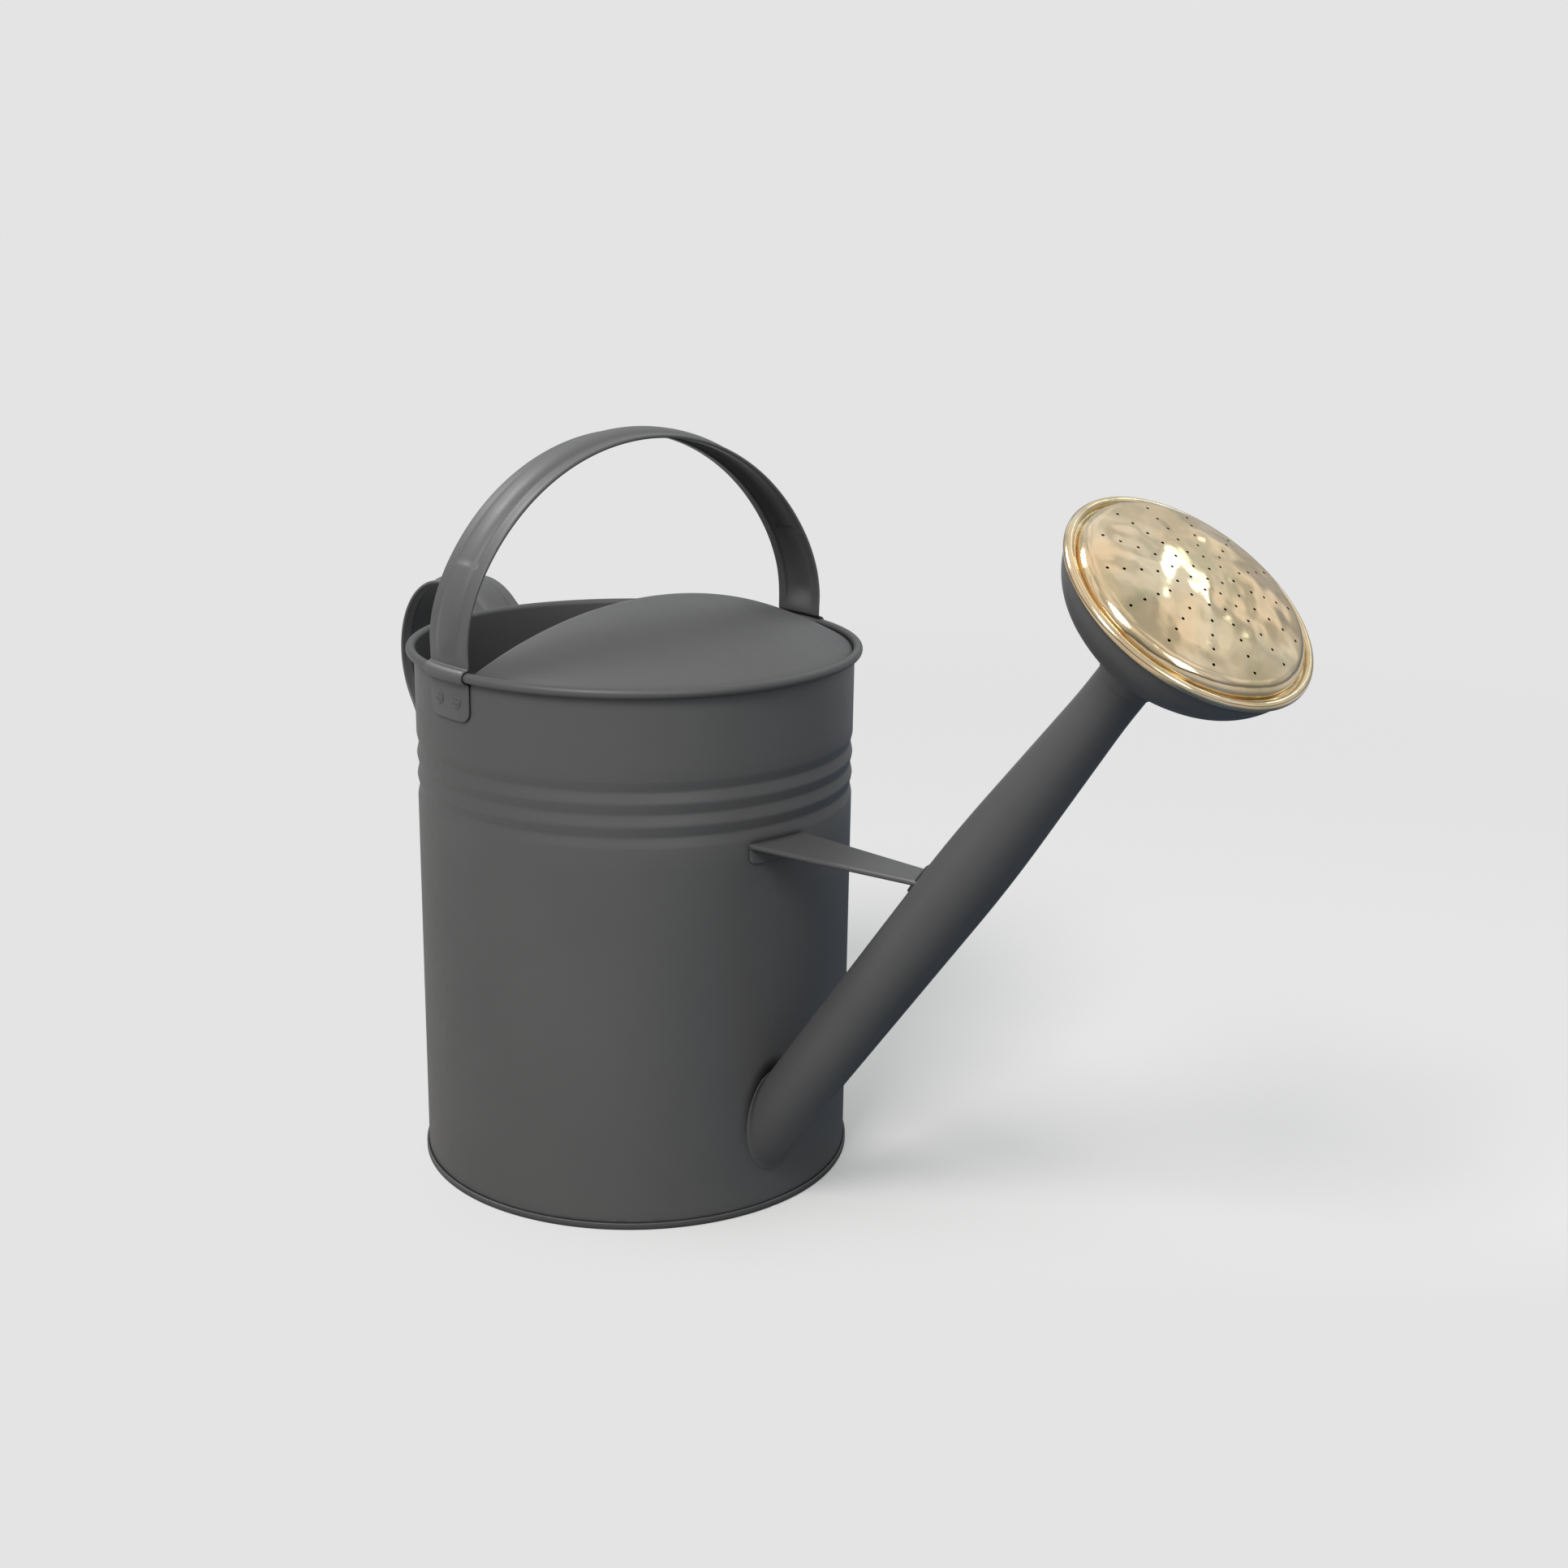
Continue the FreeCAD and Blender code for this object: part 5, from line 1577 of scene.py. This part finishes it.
    def disc(self, builder: Builder, spots: Points, faces: list, rim: Points, side: float) -> None:
        """Adds one face of the perforated disc, its border snapped to the shoulder's first ring.

        Args:
            builder: Where it goes.
            spots: The disc's points.
            faces: Its triangles.
            rim: Radius and height of the shoulder's ring on this face.
            side: 1 for outside, -1 for inside.
        """
        points = self.lifted(spots, side)
        away = np.hypot(spots[:, 0], spots[:, 1])
        border = away > self.edge - 1e-3
        way = spots[border] / away[border][:, None]
        points[border] = self.layout.on_spout(way[:, 0] * rim[0], way[:, 1] * rim[0], self.place + rim[1])
        first = builder.add_points(points)
        builder.faces += (np.array(faces) + first).tolist()

    def bores(self, builder: Builder, rims: Points) -> None:
        """Adds the holes' walls: a ring of faces between each hole's outer and inner circle.

        Args:
            builder: Where they go.
            rims: Circles, shaped holes by points by two.
        """
        outer, inner = self.lifted(rims, 1.0), self.lifted(rims, -1.0)
        for top, bottom in zip(outer, inner):
            builder.grid(np.stack([top, bottom]), wrap_columns=True)

    def cup(self) -> bpy.types.Object:
        """Cup: a sheet that flares from the sleeve, rounds up to a steep side and ends in a bead."""
        skin, bead, neck, low = 0.7, 1.3, 12.9, self.place - 36.65
        slope, knee, round_side = math.radians(80.0), math.radians(39.0), 30.0
        mouth = np.array([self.ring_radius - bead * math.cos(slope), self.place - bead * math.sin(slope)])
        upper = mouth + round_side * np.array([-math.sin(slope), math.cos(slope)])
        bend = upper + round_side * np.array([math.sin(knee), -math.cos(knee)])
        back = np.array([neck, low]) - bend
        inward = np.array([-math.sin(knee), math.cos(knee)])
        flare = (back @ back) / (2 * back @ inward)
        lower = bend + flare * inward
        start = math.degrees(math.atan2(low - lower[1], neck - lower[0]))
        middle = join(
            arc(tuple(lower), flare, start, -51.0, 24),
            arc(tuple(upper), round_side, -51.0, -10.0, 20)[1:],
            arc((self.ring_radius, self.place), bead - skin / 2, 262, 530, 14),
        )
        return self.ring("rose_cup_spun", sheet_outline(middle, skin), 160)

    def sleeve(self) -> bpy.types.Object:
        """Sleeve: a tube over the spout's tip with a stop turned in at its far end, edges eased."""
        bore, skin, low, stop = 11.55, 1.0, self.place - 44.0, self.place - 22.9
        outline = join(
            line((bore + 0.2, low), (bore + skin - 0.02, low), 3),
            line((bore + skin, low + 0.2), (bore + skin, stop + skin - 0.3), 8),
            arc((bore + skin - 0.3, stop + skin - 0.3), 0.3, 0, 90, 4),
            line((bore + skin - 0.3, stop + skin), (9.15, stop + skin), 4),
            arc((9.15, stop + skin / 2), skin / 2, 90, 270, 6),
            line((9.15, stop), (bore, stop), 3),
            line((bore, stop), (bore, low + 0.2), 8),
        )
        return self.ring("rose_sleeve", outline, 96)

    def seal(self) -> bpy.types.Object:
        """Seal: a flat rubber ring, its section a rounded rectangle turned about the axis."""
        inner, outer, low, high, ease = 9.3, 11.45, self.place - 24.95, self.place - 22.95, 0.5
        outline = join(
            arc((outer - ease, low + ease), ease, -90, 0, 5),
            arc((outer - ease, high - ease), ease, 0, 90, 5),
            arc((inner + ease, high - ease), ease, 90, 180, 5),
            arc((inner + ease, low + ease), ease, 180, 270, 5),
        )
        return self.ring("rose_seal_moulded", outline, 96)

    def build(self) -> None:
        """Makes and dresses the rose."""
        self.shop.fit(self.face(), "rose", Slot.BRASS, "rose_face")
        self.shop.fit(self.cup(), "rose", Slot.PAINT, "rose_cup")
        self.shop.fit(self.sleeve(), "rose", Slot.PAINT, "rose_socket")
        self.shop.fit(self.seal(), "seal", Slot.RUBBER, "rose_seal")


# ---------------------------------------------------------------------------------------------
# Studio
# ---------------------------------------------------------------------------------------------


@dataclass
class Studio:
    """Plain pale floor and soft lights, and the camera."""

    grey: float = 0.775
    floor_size: float = 40.0
    right: tuple = (0.66, 0.75, 0.0)
    back: tuple = (-0.72, 0.64, 0.0)
    lit_way: tuple = (0.35, -0.94, 0.0)
    paper: tuple = colour(0.72, 0.72, 0.72)
    lift: float = 0.2
    bounce: tuple = colour(0.50, 0.49, 0.48)
    far_bounce: tuple = colour(0.07, 0.10, 0.14)
    dim_side: tuple = colour(0.19, 0.205, 0.23)
    lit_side: tuple = colour(0.10, 0.10, 0.10)
    overhead: tuple = colour(0.98, 0.98, 0.98)
    grey_cloud: tuple = colour(0.52, 0.55, 0.55)

    def camera(self) -> None:
        """Places the camera from its position and its three directions."""
        data = bpy.data.cameras.new("camera")
        data.lens = 47.53
        data.sensor_width = 36.0
        data.clip_start, data.clip_end = 0.05, 100.0
        thing = bpy.data.objects.new("camera", data)
        bpy.context.scene.collection.objects.link(thing)
        forward = Vector((-0.7211, 0.6387, -0.2683)).normalized()
        right = forward.cross(Vector((-0.2117, 0.1656, 0.9632))).normalized()
        up = right.cross(forward)
        turn = Matrix((right, up, -forward)).transposed()
        thing.matrix_world = Matrix.Translation((0.8143, -0.6203, 0.4797)) @ turn.to_4x4()
        bpy.context.scene.camera = thing

    def floor(self) -> None:
        """Floor: paper that takes shadows behind the can and to its right, and an even glow elsewhere."""
        mesh = bpy.data.meshes.new("floor")
        half = self.floor_size / 2
        corners = [(-half, -half, 0), (half, -half, 0), (half, half, 0), (-half, half, 0)]
        mesh.from_pydata(corners, [], [(0, 1, 2, 3)])
        thing = bpy.data.objects.new("floor", mesh)
        bpy.context.scene.collection.objects.link(thing)
        tree = Tree("paper_floor")
        place = tree.place()
        far = tree.out(tree.node("ShaderNodeVectorMath", {"operation": "LENGTH"}, Vector=place), "Value")
        seen = tree.out(tree.node("ShaderNodeLightPath"), "Is Camera Ray")
        right = tree.toward(place, self.right)
        beyond = right.step(-0.02, 0.16)
        bounce = tree.blend(beyond, self.bounce, self.far_bounce)
        paper = tree.node("ShaderNodeBsdfDiffuse", Color=tree.blend(seen, bounce, self.paper))
        sweep = tree.node("ShaderNodeEmission", Color=colour(self.grey, self.grey, self.grey))
        shade = right.step(-0.12, 0.06) * tree.toward(place, self.back).step(-0.16, -0.08)
        shown = far.step(0.55, 1.5) * (1 - self.lift) + self.lift * seen
        shown = shown + (1 - shade) * seen * (1 - shown)
        mixed = tree.node("ShaderNodeMixShader", Fac=shown)
        tree.nodes.links.new(paper.outputs[0], mixed.inputs[1])
        tree.nodes.links.new(sweep.outputs[0], mixed.inputs[2])
        tree.node("ShaderNodeOutputMaterial", Surface=Wire(tree.nodes, mixed.outputs[0]))
        mesh.materials.append(tree.material)

    def lamp(
        self, name: str, at: tuple, size: float, power: float, tint: tuple
    ) -> bpy.types.Object:
        """Adds a soft square light turned to the can.

        Args:
            name: The light's name.
            at: Where it is, in metres.
            size: Its side, in metres.
            power: Its power, in watts.
            tint: Its colour.

        Returns:
            The light.
        """
        data = bpy.data.lights.new(name, "AREA")
        data.size = size
        data.energy = power
        data.color = tint
        thing = bpy.data.objects.new(name, data)
        bpy.context.scene.collection.objects.link(thing)
        way = Vector((0.05, 0.0, 0.2)) - Vector(at)
        thing.matrix_world = Matrix.Translation(at) @ way.to_track_quat("-Z", "Y").to_matrix().to_4x4()
        return thing

    def keep_from_top_left(self, name: str) -> None:
        """Keeps a piece out of the upper left light."""
        unlit = bpy.data.collections["not_lit_by_top_left"]
        if name not in unlit.objects:
            unlit.objects.link(bpy.data.objects[name])
        for entry in unlit.collection_objects:
            entry.light_linking.link_state = "EXCLUDE"

    def world(self) -> None:
        """Surroundings: a bright overhead tent, dimmer low down and dimmer still on the far side."""
        world = bpy.data.worlds.new("studio")
        bpy.context.scene.world = world
        world.use_nodes = True
        tree = Tree("", world.node_tree)
        way = tree.out(tree.node("ShaderNodeTexCoord"), "Generated")
        height = tree.out(tree.node("ShaderNodeSeparateXYZ", Vector=way), "Z")
        lit = tree.toward(way, self.lit_way).step(-0.3, 0.8)
        low = tree.blend(lit, self.dim_side, self.lit_side)
        cloud = tree.noise(way, 3.4, 2.0).step(0.38, 0.60)
        above = tree.blend(cloud, self.grey_cloud, self.overhead)
        tent = tree.blend(height.step(0.05, 0.45), low, above)
        seen = tree.out(tree.node("ShaderNodeLightPath"), "Is Camera Ray")
        plain = colour(self.grey, self.grey, self.grey)
        background = tree.node("ShaderNodeBackground", Color=tree.blend(seen, tent, plain))
        tree.node("ShaderNodeOutputWorld", Surface=Wire(tree.nodes, background.outputs[0]))

    def build(self) -> None:
        """Sets up everything that isn't the object."""
        self.camera()
        self.floor()
        self.world()
        self.lamp("key", (1.3, -2.9, 3.4), 1.5, 120.0, (1.0, 0.98, 0.95))
        top = self.lamp("top_left", (-2.2, -0.9, 3.0), 1.0, 64.0, (1.0, 1.0, 1.0))
        self.lamp("fill", (3.2, -0.9, 1.6), 1.4, 17.0, (1.0, 1.0, 1.0))
        window = self.lamp("window", (0.5, 2.4, 2.4), 0.9, 1.6, (0.85, 1.0, 0.98))
        window.data.shape = "RECTANGLE"
        window.data.size_y = 0.3
        unlit = bpy.data.collections.new("not_lit_by_top_left")
        unlit.objects.link(bpy.data.objects["floor"])
        top.light_linking.receiver_collection = unlit
        self.keep_from_top_left("floor")
        bpy.context.scene.view_settings.view_transform = "Standard"


def main() -> None:
    """Builds the studio and every piece in order, and reports each."""
    logging.basicConfig(level=logging.INFO, format="%(name)s: %(message)s")
    studio = Studio()
    studio.build()
    layout = Layout().read()
    LOG.info("wall %.2f, rim %.2f, spout root %s", layout.wall, layout.rim, layout.root.round(2))
    shop = Workshop()
    shop.open()
    Can(layout, shop).build()
    studio.keep_from_top_left("body_wall")
    Handles(layout, shop).build()
    Spout(layout, shop).build()
    Rose(layout, shop).build()


if __name__ == "__main__":
    main()
